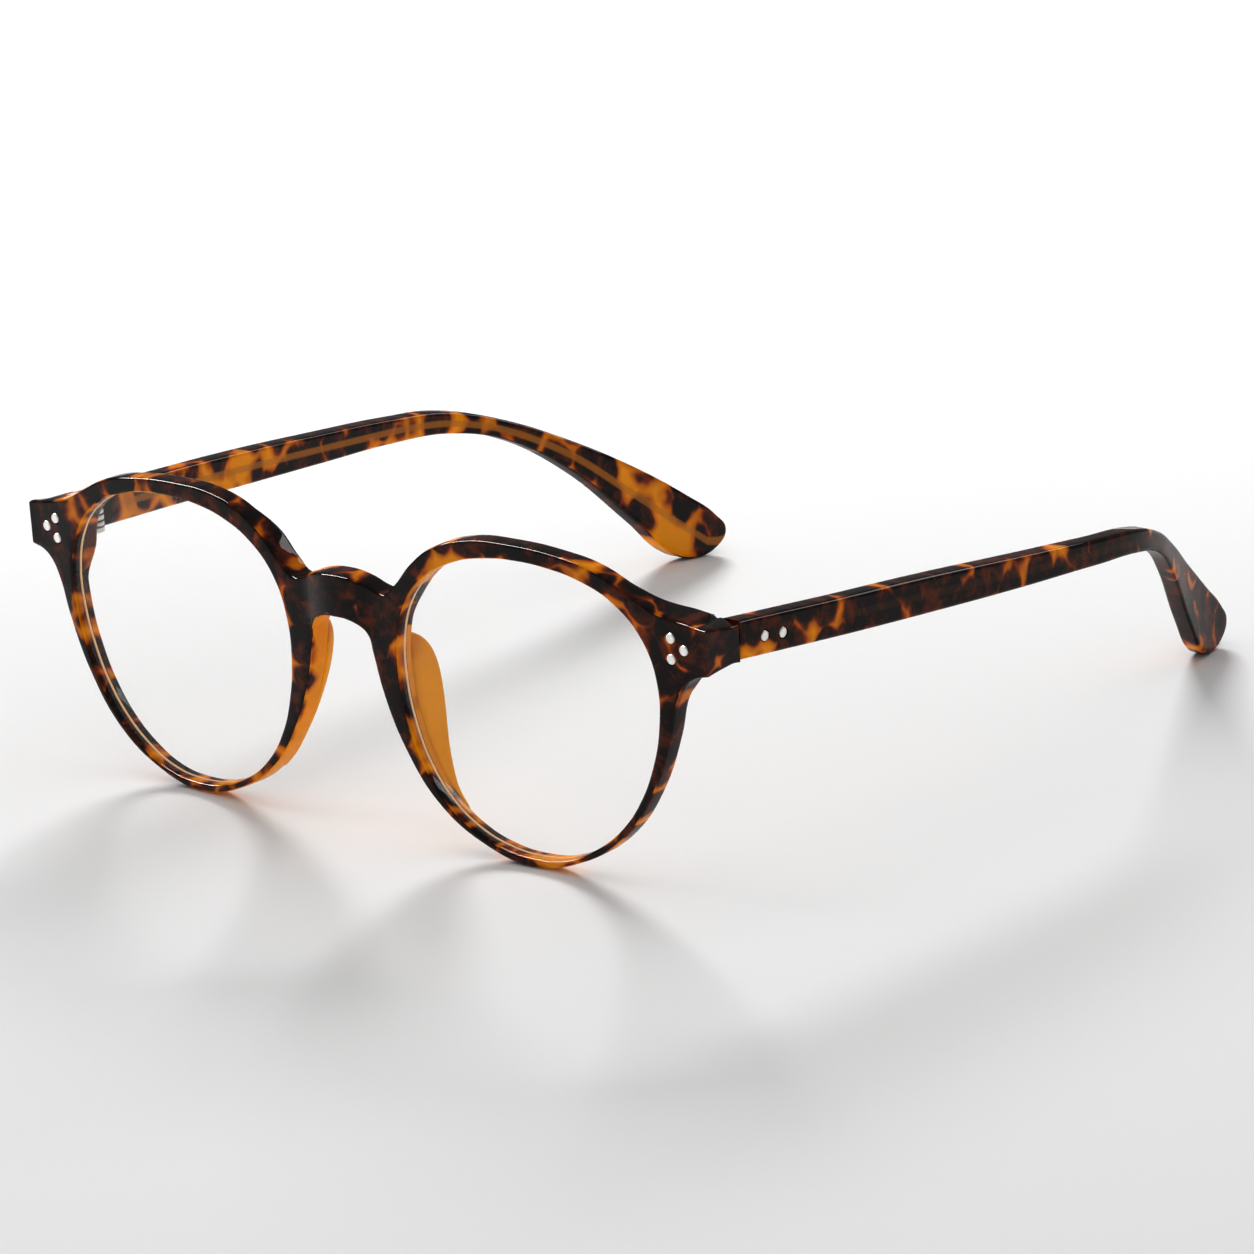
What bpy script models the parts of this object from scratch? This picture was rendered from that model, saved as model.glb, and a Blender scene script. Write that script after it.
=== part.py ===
"""Round acetate spectacles with riveted five-knuckle hinges.

Frame: metres, +Z up, +X to the wearer's left, the front faces -Y and the temples run towards +Y.
The origin is under the middle of the spectacles, on the surface that they stand on.
Lengths below are in millimetres; MM turns them into metres.
"""
import math

import bmesh
import bpy
from mathutils import Matrix, Vector

MM = 0.001
GAP = 0.3                 # running and glue-line gap between separate pieces

# Driving dimensions -----------------------------------------------------------------------------
FRONT_Y = -72.66          # the front face's middle, before the lean and the bridge's bulge
FRONT_THICK = 3.4         # acetate sheet the front is milled from
FACE_RADIUS = 716.0       # plan radius of the front face
FACE_LEAN = math.radians(1.1)   # the top of the front leans forward
EDGE_ROUND = 0.45         # polished edge radius of the acetate
BRIDGE_HALF = 6.3         # half width of the bridge's bulged panel
BRIDGE_BULGE = 1.2        # how far its middle stands forward
NOSE_SWELL = 1.0          # extra thickness behind the front beside the bridge
BRIDGE_BACK = 0.3         # and behind the bridge itself
FLOOR_CUT = 0.57          # lowest outline point, moved down to the surface it stands on
END_SWELL = 3.2           # and behind the end pieces
FRONT_CUTS = (-66, -63, -60, -57.5, -55, -20, -16, -12, -9, -BRIDGE_HALF, -4.2, -2.1, 0,
              2.1, 4.2, BRIDGE_HALF, 9, 12, 16, 20, 55, 57.5, 60, 63, 66)

# The front's outline, right-hand half seen from behind, from the middle of the bridge's top edge
# over the rim and the end piece to the middle of the bridge's underside: across, up
OUTLINE = (
    (0.0, 41.6), (4.6, 41.0), (8.0, 39.75), (9.3, 39.5), (11.9, 41.4),
    (15.2, 44.9), (20.0, 48.25), (26.5, 50.3), (35.0, 50.75), (43.5, 50.2),
    (50.5, 48.9), (56.3, 46.4), (61.0, 44.2), (65.0, 43.35), (68.3, 43.0),
    (69.3, 41.9), (69.5, 38.8), (69.4, 36.5), (68.7, 35.5), (66.5, 33.7),
    (64.8, 30.6), (63.0, 24.6), (59.4, 16.2), (53.2, 8.0), (44.6, 2.7),
    (35.0, FLOOR_CUT), (25.6, 2.7), (17.2, 7.8), (11.4, 15.4), (7.9, 23.3),
    (6.25, 29.8), (5.5, 32.8), (3.4, 34.3), (0.0, 34.8),
)
# The lens opening, counter-clockwise from its outer side: across, up
OPENING = (
    (60.9, 25.9), (61.1, 32.6), (58.9, 39.1), (54.2, 44.0), (48.1, 46.75), (41.9, 47.95),
    (36.0, 48.3), (30.1, 47.9), (24.1, 46.55), (18.3, 43.6), (13.8, 38.7), (11.65, 32.4),
    (11.45, 25.9), (12.55, 19.6), (14.85, 13.65), (18.65, 8.5), (23.8, 4.7), (29.75, 2.6),
    (36.0, 2.0), (42.2, 2.8), (47.9, 5.4), (52.75, 9.2), (56.55, 14.05), (59.25, 19.7),
)
OPENING_MIDDLE = (36.1, 25.1)

GROOVE_DEPTH = 0.85       # how far the groove goes into the rim
GROOVE_FRONT = 1.0        # from the front face to the groove's near wall
GROOVE_WIDE = 1.6
GROOVE_TAPER = 0.4        # each groove wall leans in by this much
GROOVE_INSIDE = 1.5       # the cutter's start inside the opening
LENS_TONGUE = 0.5         # how far the lens edge goes into the groove
LENS_THICK = 2.0
LENS_BULGE = 1.4          # rise of the lens's middle over its edge

# End pieces and hinges
JOINT_Y = 10.5            # back face of the end piece, behind FRONT_Y
JOINT_OUT = 70.05         # outer side at that face
END_WALL = 3.4            # thickness of the end piece's side wall
END_TOP = (42.35, 41.1)   # at the front and at the joint
END_BOTTOM = (35.35, 35.05)
END_ROUND = 0.5
PIVOT_X = 64.3
PIVOT_Y = 10.65
KNUCKLE_R = 1.5
KNUCKLE_TALL = 0.7
SCREW_R = 0.5
SCREW_HOLE_R = 0.82
HINGE_MIDDLE_Z = 37.9
LEAF_THICK = 0.75
LEAF_TALL = 4.2
LEAF_Y = 5.9              # near face of the front leaf
LEAF_POCKET_BACK = 11.0
FRONT_LEAF = (61.8, 67.15)     # across
TEMPLE_LEAF = (12.4, 21.6)     # back from FRONT_Y
RIVET_R = 0.8
RIVET_HOLE_R = 1.0
FRONT_RIVETS = ((64.2, 40.3), (64.1, 37.1), (66.45, 38.7))     # across, up
TEMPLE_RIVETS = ((15.6, 38.2), (19.2, 37.85))                  # back, up

# Temples: the outer side's distance from the middle, then the lower and upper edges
TEMPLE_THICK = 3.6
TEMPLE_ROUND = 0.7
TEMPLE_OUT = ((10.8, 70.1), (30, 72.2), (50, 73.7), (70, 74.9), (88, 75.5), (100, 74.4),
              (110, 70.9), (120, 65.9), (130, 60.9), (140, 57.2), (149, 55.0))
TEMPLE_UPPER = ((10.8, 41.6), (30, 40.3), (50, 38.9), (70, 37.1), (88, 35.4), (100, 33.9),
                (110, 30.6), (120, 25.5), (130, 19.2), (140, 11.9), (145.4, 7.4))
TEMPLE_TIP = ((147.3, 4.4), (145.0, 1.5), (140.4, FLOOR_CUT + 0.06))
TEMPLE_LOWER = ((136.4, 2.2), (130.5, 8.7), (120, 20.1), (110, 27.1), (101, 29.9), (88, 31.2),
                (70, 32.1), (50, 33.2), (30, 34.4), (10.8, 35.6))
TEMPLE_FLAT = 30          # the temple's sides are flat from the hinge to here
TEMPLE_CUTS = (15, 25, 40, 55, 70, 82, 90, 96, 102, 108, 114, 120, 126, 133, 140)
CORE_R = 0.65
CORE_CHANNEL_R = 1.0
CORE_INNER = 1.75         # the wire's distance inside the temple's outer side
CORE_ROUTE = ((22.8, 37.8), (40, 36.8), (60, 35.4), (80, 33.9), (92, 33.0), (101, 31.7),
              (110, 28.8), (120, 22.8), (129, 14.9), (137, 8.0))

# Nose pads, from the top down: height, the base's nose side and lens side across, then the
# crest across and its depth
PAD_STATIONS = ((32.6, 6.4, 11.2, 9.4, 4.8), (31.6, 6.3, 11.2, 9.9, 6.8), (29.4, 6.5, 11.2, 10.6, 8.7),
                (26.0, 7.2, 11.25, 11.4, 9.3), (22.0, 8.5, 11.8, 12.3, 8.8),
                (18.0, 10.2, 12.7, 13.4, 7.7), (14.5, 12.2, 14.2, 14.6, 6.4),
                (11.7, 14.2, 15.8, 16.0, 5.4), (9.4, 15.9, 17.5, 17.1, 4.7))

# Colours: linear red, green, blue
TORTOISE = (0.045, 0.012, 0.004)
HONEY = (0.55, 0.22, 0.03)
CLEAR = (0.9, 0.93, 0.92)
STEEL = (0.72, 0.71, 0.69)


# Helpers ----------------------------------------------------------------------------------------
def material(name, colour, roughness, metallic=0.0, alpha=1.0):
    """A plain Principled material, made once per name."""
    found = bpy.data.materials.get(name)
    if found:
        return found
    made = bpy.data.materials.new(name)
    made.use_nodes = True
    shader = made.node_tree.nodes["Principled BSDF"]
    shader.inputs["Base Color"].default_value = (*colour, 1.0)
    shader.inputs["Roughness"].default_value = roughness
    shader.inputs["Metallic"].default_value = metallic
    shader.inputs["Alpha"].default_value = alpha
    return made


def place(bm):
    """Turns millimetres behind the front face into the part's own metres."""
    bmesh.ops.translate(bm, verts=bm.verts, vec=(0, FRONT_Y, 0))
    bmesh.ops.scale(bm, verts=bm.verts, vec=(MM, MM, MM))


def add_object(name, bm, mat, side=1):
    """Makes an object from a millimetre bmesh; side -1 mirrors it to the other half."""
    if side < 0:
        bmesh.ops.scale(bm, verts=bm.verts, vec=(-1, 1, 1))
        bmesh.ops.reverse_faces(bm, faces=bm.faces)
    place(bm)
    mesh = bpy.data.meshes.new(name)
    bm.to_mesh(mesh)
    bm.free()
    mesh.shade_smooth()
    mesh.set_sharp_from_angle(angle=math.radians(35))
    obj = bpy.data.objects.new(name, mesh)
    obj.data.materials.append(mat)
    bpy.context.collection.objects.link(obj)
    return obj


def boolean(bm, tool, operation):
    """Joins, cuts or intersects two millimetre bmeshes and returns the result."""
    made = []
    for source in (bm, tool):
        mesh = bpy.data.meshes.new("work")
        source.to_mesh(mesh)
        source.free()
        obj = bpy.data.objects.new("work", mesh)
        bpy.context.collection.objects.link(obj)
        made.append(obj)
    target, cutter = made
    step = target.modifiers.new("step", "BOOLEAN")
    step.solver = "EXACT"
    step.operation = operation
    step.object = cutter
    graph = bpy.context.evaluated_depsgraph_get()
    result = bmesh.new()
    result.from_mesh(target.evaluated_get(graph).to_mesh())
    bpy.data.objects.remove(target)
    bpy.data.objects.remove(cutter)
    bmesh.ops.remove_doubles(result, verts=result.verts, dist=0.002)
    bmesh.ops.dissolve_degenerate(result, edges=result.edges, dist=0.002)
    return result


def smooth_loop(points, steps, closed=True):
    """Points on a Blender curve with automatic handles through the given 2D or 3D points."""
    data = bpy.data.curves.new("route", "CURVE")
    data.dimensions = "3D"
    data.resolution_u = steps
    spline = data.splines.new("BEZIER")
    spline.bezier_points.add(len(points) - 1)
    spline.use_cyclic_u = closed
    for knot, point in zip(spline.bezier_points, points):
        knot.co = (*point, 0)[:3]
        knot.handle_left_type = "AUTO"
        knot.handle_right_type = "AUTO"
    obj = bpy.data.objects.new("route", data)
    bpy.context.collection.objects.link(obj)
    graph = bpy.context.evaluated_depsgraph_get()
    mesh = obj.evaluated_get(graph).to_mesh()
    found = [vertex.co.copy() for vertex in mesh.vertices]
    bpy.data.objects.remove(obj)
    return found


def rounded_plate(loops, thick, rounding):
    """A plate on the XZ plane, from y = 0 to thick, with rounded edges along every loop."""
    data = bpy.data.curves.new("plate", "CURVE")
    data.dimensions = "2D"
    data.fill_mode = "BOTH"
    data.extrude = thick / 2 - rounding
    data.bevel_depth = rounding
    data.bevel_resolution = 1
    data.offset = -rounding
    for loop in loops:
        spline = data.splines.new("POLY")
        spline.points.add(len(loop) - 1)
        spline.use_cyclic_u = True
        for knot, point in zip(spline.points, loop):
            knot.co = (point[0], point[1], 0, 1)
    obj = bpy.data.objects.new("plate", data)
    bpy.context.collection.objects.link(obj)
    graph = bpy.context.evaluated_depsgraph_get()
    bm = bmesh.new()
    bm.from_mesh(obj.evaluated_get(graph).to_mesh())
    bpy.data.objects.remove(obj)
    bmesh.ops.remove_doubles(bm, verts=bm.verts, dist=0.001)
    bmesh.ops.rotate(bm, verts=bm.verts, cent=(0, 0, 0), matrix=Matrix.Rotation(math.pi / 2, 3, "X"))
    bmesh.ops.translate(bm, verts=bm.verts, vec=(0, thick / 2, 0))
    bmesh.ops.recalc_face_normals(bm, faces=bm.faces)
    return bm


def prism(outline, low, high):
    """An outline on the XY plane, extruded from z = low to high."""
    bm = bmesh.new()
    ring = [bm.verts.new((x, y, low)) for x, y in outline]
    face = bm.faces.new(ring)
    raised = bmesh.ops.extrude_face_region(bm, geom=[face])
    lifted = [item for item in raised["geom"] if isinstance(item, bmesh.types.BMVert)]
    bmesh.ops.translate(bm, verts=lifted, vec=(0, 0, high - low))
    bmesh.ops.recalc_face_normals(bm, faces=bm.faces)
    return bm


def box(x, y, z):
    """A box from three (low, high) pairs."""
    return prism(((x[0], y[0]), (x[1], y[0]), (x[1], y[1]), (x[0], y[1])), z[0], z[1])


def rod(start, end, radii, segments=12):
    """A turned pin from start to end; radii are (share of the length, radius) pairs."""
    axis = Vector(end) - Vector(start)
    bm = bmesh.new()
    rings = []
    for share, radius in radii:
        turned = bmesh.ops.create_circle(bm, segments=segments, radius=radius, cap_ends=False)
        for vertex in turned["verts"]:
            vertex.co.z = share * axis.length
        rings.append(turned["verts"])
    for lower, upper in zip(rings, rings[1:]):
        for index in range(segments):
            follow = (index + 1) % segments
            bm.faces.new((lower[index], lower[follow], upper[follow], upper[index]))
    bm.faces.new(rings[0])
    bm.faces.new(rings[-1])
    turn = Vector((0, 0, 1)).rotation_difference(axis).to_matrix()
    bmesh.ops.rotate(bm, verts=bm.verts, cent=(0, 0, 0), matrix=turn)
    bmesh.ops.translate(bm, verts=bm.verts, vec=start)
    bmesh.ops.recalc_face_normals(bm, faces=bm.faces)
    return bm


def along(table, at):
    """Reads a smooth value from a table of (position, value) pairs."""
    last = len(table) - 1
    index = max(i for i in range(last) if i == 0 or table[i][0] <= at)
    (x0, y0), (x1, y1) = table[index], table[index + 1]
    before = table[max(index - 1, 0)]
    after = table[min(index + 2, last)]
    slope0 = (y1 - before[1]) / (x1 - before[0])
    slope1 = (after[1] - y0) / (after[0] - x0)
    t = (at - x0) / (x1 - x0)
    span = x1 - x0
    h00 = 2 * t ** 3 - 3 * t ** 2 + 1
    h10 = t ** 3 - 2 * t ** 2 + t
    h01 = 3 * t ** 2 - 2 * t ** 3
    h11 = t ** 3 - t ** 2
    return h00 * y0 + h10 * span * slope0 + h01 * y1 + h11 * span * slope1


def step(low, high, value):
    """A smooth step from 0 at low to 1 at high."""
    share = min(max((value - low) / (high - low), 0), 1)
    return share * share * (3 - 2 * share)


def slice_across(bm, places):
    """Cuts a flat plate's faces at these places along X, so that it can follow a bend."""
    for place_x in places:
        bmesh.ops.bisect_plane(bm, geom=bm.verts[:] + bm.edges[:] + bm.faces[:], dist=0.0001,
                               plane_co=(place_x, 0, 0), plane_no=(1, 0, 0))


# The front --------------------------------------------------------------------------------------
def face_point(across, up, depth):
    """Puts a point of the flat front on the curved, leaning face."""
    turn = across / FACE_RADIUS
    x = FACE_RADIUS * math.sin(turn) - depth * math.sin(turn)
    back = FACE_RADIUS * (1 - math.cos(turn)) + depth * math.cos(turn)
    y = back * math.cos(FACE_LEAN) - up * math.sin(FACE_LEAN)
    z = up * math.cos(FACE_LEAN) + back * math.sin(FACE_LEAN) - FLOOR_CUT
    return Vector((x, y, z))


def bend_front(bm):
    """Bulges the bridge, thickens the front beside it and bends it all to the face's radius."""
    for vertex in bm.verts:
        across, depth, up = vertex.co
        share = depth / FRONT_THICK
        bulge = BRIDGE_BULGE * max(0, 1 - (across / BRIDGE_HALF) ** 2)
        swell = step(20, 15, abs(across)) * step(35, 41, up) * step(5, 10, abs(across))
        end = END_SWELL * step(55, 66, abs(across)) * step(30, 36, up)
        behind = NOSE_SWELL * swell + BRIDGE_BACK * step(8, 5, abs(across)) + end
        depth += behind * share - bulge * (1 - share)
        vertex.co = face_point(across, up, depth)


def front_outline():
    """The whole outline, mirrored about the middle, as an even run of points."""
    half = list(OUTLINE)
    whole = half + [(-x, z) for x, z in reversed(half[1:-1])]
    return smooth_loop(whole, 3)


def end_piece(side):
    """The end piece's side wall, which turns back from the front to the hinge."""
    outer = 69.7
    inner = JOINT_OUT - END_WALL
    plan = ((61.5, 3.2), (outer - 0.6, 2.9), (outer + 0.05, 3.7), (JOINT_OUT + 0.05, 6.8),
            (JOINT_OUT, JOINT_Y), (inner, JOINT_Y), (inner, 7.6), (66.0, 6.4), (63.5, 5.4), (61.5, 5.1))
    bm = prism(plan, 0, 1)
    for vertex in bm.verts:
        share = (vertex.co.y - 3) / (JOINT_Y - 3)
        ends = END_TOP if vertex.co.z > 0.5 else END_BOTTOM
        vertex.co.z = ends[0] + (ends[1] - ends[0]) * share
    long_edges = [edge for edge in bm.edges
                  if all(v.co.x > outer - 0.4 for v in edge.verts)
                  and abs(edge.verts[0].co.z - edge.verts[1].co.z) < 3]
    bmesh.ops.bevel(bm, geom=long_edges, offset=END_ROUND, segments=2, profile=0.5,
                    affect="EDGES", material=-1)
    if side < 0:
        bmesh.ops.scale(bm, verts=bm.verts, vec=(-1, 1, 1))
        bmesh.ops.reverse_faces(bm, faces=bm.faces)
    return bm


def opening_loop(side, grow, steps):
    """The lens opening's edge, grown outwards by a distance."""
    ring = smooth_loop([(side * x, z) for x, z in OPENING], steps)
    middle = Vector((side * OPENING_MIDDLE[0], OPENING_MIDDLE[1], 0))
    return [point + (point - middle).normalized() * grow for point in ring]


def ring_solid(side, rings, steps, crown_front, crown_back):
    """A closed disc that fills the lens opening; rings are (growth, depth) pairs, front to back."""
    bm = bmesh.new()
    rows = []
    for grow, depth in rings:
        loop = opening_loop(side, grow, steps)
        rows.append([bm.verts.new(face_point(p.x, p.y, depth)) for p in loop])
    count = len(rows[0])
    for near, far in zip(rows, rows[1:]):
        for index in range(count):
            follow = (index + 1) % count
            bm.faces.new((near[index], near[follow], far[follow], far[index]))
    middle = Vector((side * OPENING_MIDDLE[0], OPENING_MIDDLE[1], 0))
    faces = ((rows[0], rings[0], crown_front), (rows[-1], rings[-1], crown_back))
    for row, (grow, depth), crown in faces:
        loop = opening_loop(side, grow, steps)
        outer = row
        for share in (0.72, 0.36):
            height = depth - crown * (1 - share ** 2)
            inner = []
            for point in loop:
                spot = middle.lerp(point, share)
                inner.append(bm.verts.new(face_point(spot.x, spot.y, height)))
            for index in range(count):
                follow = (index + 1) % count
                bm.faces.new((outer[index], outer[follow], inner[follow], inner[index]))
            outer = inner
        top = bm.verts.new(face_point(middle.x, middle.y, depth - crown))
        for index in range(count):
            bm.faces.new((outer[index], outer[(index + 1) % count], top))
    bmesh.ops.recalc_face_normals(bm, faces=bm.faces)
    return bm


def groove_cutter(side):
    """A disc through the opening whose edge, tapered like a wheel's, makes the lens groove."""
    back = GROOVE_FRONT + GROOVE_WIDE
    rings = ((-GROOVE_INSIDE, GROOVE_FRONT - 0.1), (0.0, GROOVE_FRONT),
             (GROOVE_DEPTH, GROOVE_FRONT + GROOVE_TAPER), (GROOVE_DEPTH, back - GROOVE_TAPER),
             (0.0, back), (-GROOVE_INSIDE, back + 0.1))
    return ring_solid(side, rings, 2, 0, 0)


def make_front(mat):
    loops = [front_outline()] + [opening_loop(side, 0, 2) for side in (1, -1)]
    bm = rounded_plate(loops, FRONT_THICK, EDGE_ROUND)
    slice_across(bm, FRONT_CUTS)
    bend_front(bm)
    for side in (1, -1):
        bm = boolean(bm, end_piece(side), "UNION")
    for side in (1, -1):
        bm = boolean(bm, groove_cutter(side), "DIFFERENCE")
        for x, z in FRONT_RIVETS:
            hole = rod((side * x, -2, z - FLOOR_CUT), (side * x, 7.5, z - FLOOR_CUT),
                       ((0, RIVET_HOLE_R), (1, RIVET_HOLE_R)))
            bm = boolean(bm, hole, "DIFFERENCE")
        bm = boolean(bm, leaf_pocket(side), "DIFFERENCE")
    return add_object("front", bm, mat)


def leaf_pocket(side):
    """The recess in the end piece that the hinge's front leaf lies in."""
    low, high = FRONT_LEAF
    half = LEAF_TALL / 2 + GAP
    xs = sorted((side * (low - GAP), side * (high + GAP)))
    return box(xs, (LEAF_Y - GAP, LEAF_POCKET_BACK), (HINGE_MIDDLE_Z - half, HINGE_MIDDLE_Z + half))


# Lenses, pads -----------------------------------------------------------------------------------
def make_lens(name, side, mat):
    middle = GROOVE_FRONT + GROOVE_WIDE / 2
    half = LENS_THICK / 2
    rings = ((-GAP, middle - half), (-GAP, middle - 0.35), (LENS_TONGUE, middle - 0.15),
             (LENS_TONGUE, middle + 0.15), (-GAP, middle + 0.35), (-GAP, middle + half))
    bm = ring_solid(side, rings, 2, LENS_BULGE, LENS_BULGE)
    return add_object(name, bm, mat)


def pad_section(nose, lens, crest, depth):
    """Up the lens side, over the rounded crest and down the nose side: across, depth pairs."""
    start = FRONT_THICK + GAP
    rise = depth - start
    return ((nose, start), (lens, start), (0.6 * lens + 0.4 * (crest + 0.6), start + 0.35 * rise),
            (crest + 0.6, depth - 0.22 * rise), (crest + 0.1, depth), (crest - 0.6, depth - 0.04 * rise),
            (crest - 1.3, depth - 0.3 * rise), (0.75 * nose + 0.25 * crest - 0.2, start + 0.35 * rise))


def make_nose_pad(name, side, mat):
    """A fin bonded behind the rim, lofted through its sections from the top down."""
    bm = bmesh.new()
    rows = []
    for up, *numbers in PAD_STATIONS:
        rows.append([bm.verts.new(face_point(x, up, y)) for x, y in pad_section(*numbers)])
    count = len(rows[0])
    for upper, lower in zip(rows, rows[1:]):
        for index in range(count):
            follow = (index + 1) % count
            bm.faces.new((upper[index], upper[follow], lower[follow], lower[index]))
    bm.faces.new(rows[0])
    bm.faces.new(rows[-1])
    bmesh.ops.recalc_face_normals(bm, faces=bm.faces)
    return add_object(name, bm, mat, side)


# Temples and their cores ------------------------------------------------------------------------
def temple_out(back):
    """The distance of the temple's outer side from the middle, flat beside the hinge."""
    start = TEMPLE_OUT[0][0]
    if back >= TEMPLE_FLAT:
        return along(TEMPLE_OUT, back)
    slope = (along(TEMPLE_OUT, TEMPLE_FLAT) - TEMPLE_OUT[0][1]) / (TEMPLE_FLAT - start)
    return TEMPLE_OUT[0][1] + slope * (back - start)


def temple_shift(bm):
    """Moves a flat temple out to its own curved side; y = 0 becomes the outer side."""
    for vertex in bm.verts:
        back, inward, up = vertex.co
        vertex.co = (temple_out(back) - inward, back, up - FLOOR_CUT)


def tube(route, radius, sides):
    """A round tube with closed ends along a route of points."""
    data = bpy.data.curves.new("tube", "CURVE")
    data.dimensions = "3D"
    data.bevel_depth = radius
    data.bevel_resolution = sides // 2 - 2
    data.use_fill_caps = True
    spline = data.splines.new("POLY")
    spline.points.add(len(route) - 1)
    for knot, point in zip(spline.points, route):
        knot.co = (*point, 1)
    obj = bpy.data.objects.new("tube", data)
    bpy.context.collection.objects.link(obj)
    graph = bpy.context.evaluated_depsgraph_get()
    bm = bmesh.new()
    bm.from_mesh(obj.evaluated_get(graph).to_mesh())
    bpy.data.objects.remove(obj)
    bmesh.ops.remove_doubles(bm, verts=bm.verts, dist=0.001)
    bmesh.ops.recalc_face_normals(bm, faces=bm.faces)
    return bm


def core_route(extra):
    """The wire's route in the temple's middle; extra runs it past its two ends."""
    route = smooth_loop(CORE_ROUTE, 2, closed=False)
    points = [Vector((temple_out(p.x) - CORE_INNER, p.x, p.y - FLOOR_CUT)) for p in route]
    head = (points[0] - points[1]).normalized()
    tail = (points[-1] - points[-2]).normalized()
    return [points[0] + head * extra] + points[1:-1] + [points[-1] + tail * extra]


def hinge_turn():
    """The angle in plan of the temple's inner side beside the hinge."""
    low, high = TEMPLE_LEAF
    rise = temple_out(high) - temple_out(low)
    return math.atan2(rise, high - low)


def leaf_plate(grow, thick_in, thick_out):
    """The temple leaf's plate, laid along the temple's inner side."""
    low, high = TEMPLE_LEAF
    half = LEAF_TALL / 2 + grow
    inner = temple_out(low) - TEMPLE_THICK
    bm = box((thick_in, thick_out), (low - grow, high + grow),
             (HINGE_MIDDLE_Z - 0.7 - half, HINGE_MIDDLE_Z - 0.7 + half))
    bmesh.ops.translate(bm, verts=bm.verts, vec=(inner, 0, 0))
    bmesh.ops.rotate(bm, verts=bm.verts, cent=(inner, low, 0),
                     matrix=Matrix.Rotation(-hinge_turn(), 3, "Z"))
    return bm


def make_temple(name, side, mat):
    edge = TEMPLE_UPPER + TEMPLE_TIP + TEMPLE_LOWER
    loop = smooth_loop(edge[:-1], 3, closed=False) + [Vector((*TEMPLE_LOWER[-1], 0))]
    bm = rounded_plate([loop], TEMPLE_THICK, TEMPLE_ROUND)
    slice_across(bm, TEMPLE_CUTS)
    temple_shift(bm)
    channel = tube([(temple_out(10) - CORE_INNER, 4.0, CORE_ROUTE[0][1] + 1.2)]
                   + core_route(GAP), CORE_CHANNEL_R, 8)
    bm = boolean(bm, channel, "DIFFERENCE")
    bm = boolean(bm, leaf_plate(GAP, -2.0, LEAF_THICK / 2 + GAP), "DIFFERENCE")
    for y, z in TEMPLE_RIVETS:
        hole = rod((60, y, z - FLOOR_CUT), (80, y, z - FLOOR_CUT),
                   ((0, RIVET_HOLE_R), (1, RIVET_HOLE_R)))
        bm = boolean(bm, hole, "DIFFERENCE")
    return add_object(name, bm, mat, side)


# Hinges and rivets ------------------------------------------------------------------------------
def knuckle(index, reach):
    """One knuckle with an arm that reaches from the pivot to the point of its leaf."""
    low = HINGE_MIDDLE_Z + (index - 2.5) * (KNUCKLE_TALL + GAP) + GAP / 2
    reach_at = Vector(reach)
    pivot = Vector((PIVOT_X, PIVOT_Y))
    toward = (reach_at - pivot).normalized()
    across = Vector((-toward.y, toward.x))
    outline = [reach_at - across * KNUCKLE_R * 0.8, reach_at + across * KNUCKLE_R * 0.8]
    for turn in range(9):
        angle = math.pi * turn / 8
        outline.append(pivot + (across * math.cos(angle) - toward * math.sin(angle)) * KNUCKLE_R)
    return prism(outline, low, low + KNUCKLE_TALL)


def screw_hole():
    low = HINGE_MIDDLE_Z - 5
    return rod((PIVOT_X, PIVOT_Y, low), (PIVOT_X, PIVOT_Y, low + 10),
               ((0, SCREW_HOLE_R), (1, SCREW_HOLE_R)))


def make_front_leaf(name, side, mat):
    half = LEAF_TALL / 2
    bm = box(FRONT_LEAF, (LEAF_Y, LEAF_Y + LEAF_THICK), (HINGE_MIDDLE_Z - half, HINGE_MIDDLE_Z + half))
    for index in (0, 2, 4):
        bm = boolean(bm, knuckle(index, (PIVOT_X, LEAF_Y + LEAF_THICK / 2)), "UNION")
    bm = boolean(bm, screw_hole(), "DIFFERENCE")
    return add_object(name, bm, mat, side)


def make_temple_leaf(name, side, mat):
    bm = leaf_plate(0, -LEAF_THICK / 2, LEAF_THICK / 2)
    inner = temple_out(TEMPLE_LEAF[0]) - TEMPLE_THICK
    for index in (1, 3):
        bm = boolean(bm, knuckle(index, (inner - 0.9, TEMPLE_LEAF[0] + 1.4)), "UNION")
    bm = boolean(bm, screw_hole(), "DIFFERENCE")
    return add_object(name, bm, mat, side)


def make_screw(name, side, mat):
    """The pivot screw: a flat head over the top knuckle and a shank through all five."""
    top = HINGE_MIDDLE_Z + 2.5 * (KNUCKLE_TALL + GAP) - GAP / 2
    bottom = top - 4.7
    length = top + GAP + 0.45 - bottom
    head = (top + GAP - bottom) / length
    bm = rod((PIVOT_X, PIVOT_Y, bottom), (PIVOT_X, PIVOT_Y, bottom + length),
             ((0, 0.4), (0.04, SCREW_R), (head - 0.001, SCREW_R), (head, 1.1), (0.97, 1.1), (1, 0.95)))
    return add_object(name, bm, mat, side)


def make_front_rivet(name, side, x, z, mat):
    """A pin through the front, filed flush and slightly domed."""
    surface = face_point(x, z, 0).y
    bm = rod((x, surface - 0.08, z - FLOOR_CUT), (x, 5.6, z - FLOOR_CUT),
             ((0, RIVET_R * 0.6), (0.02, RIVET_R * 0.92), (0.05, RIVET_R), (1, RIVET_R)))
    return add_object(name, bm, mat, side)


def make_temple_rivet(name, side, y, z, mat):
    surface = temple_out(y)
    inner = surface - TEMPLE_THICK + LEAF_THICK / 2 + GAP
    bm = rod((surface + 0.08, y, z - FLOOR_CUT), (inner, y, z - FLOOR_CUT),
             ((0, RIVET_R * 0.6), (0.03, RIVET_R * 0.92), (0.07, RIVET_R), (1, RIVET_R)))
    return add_object(name, bm, mat, side)


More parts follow.
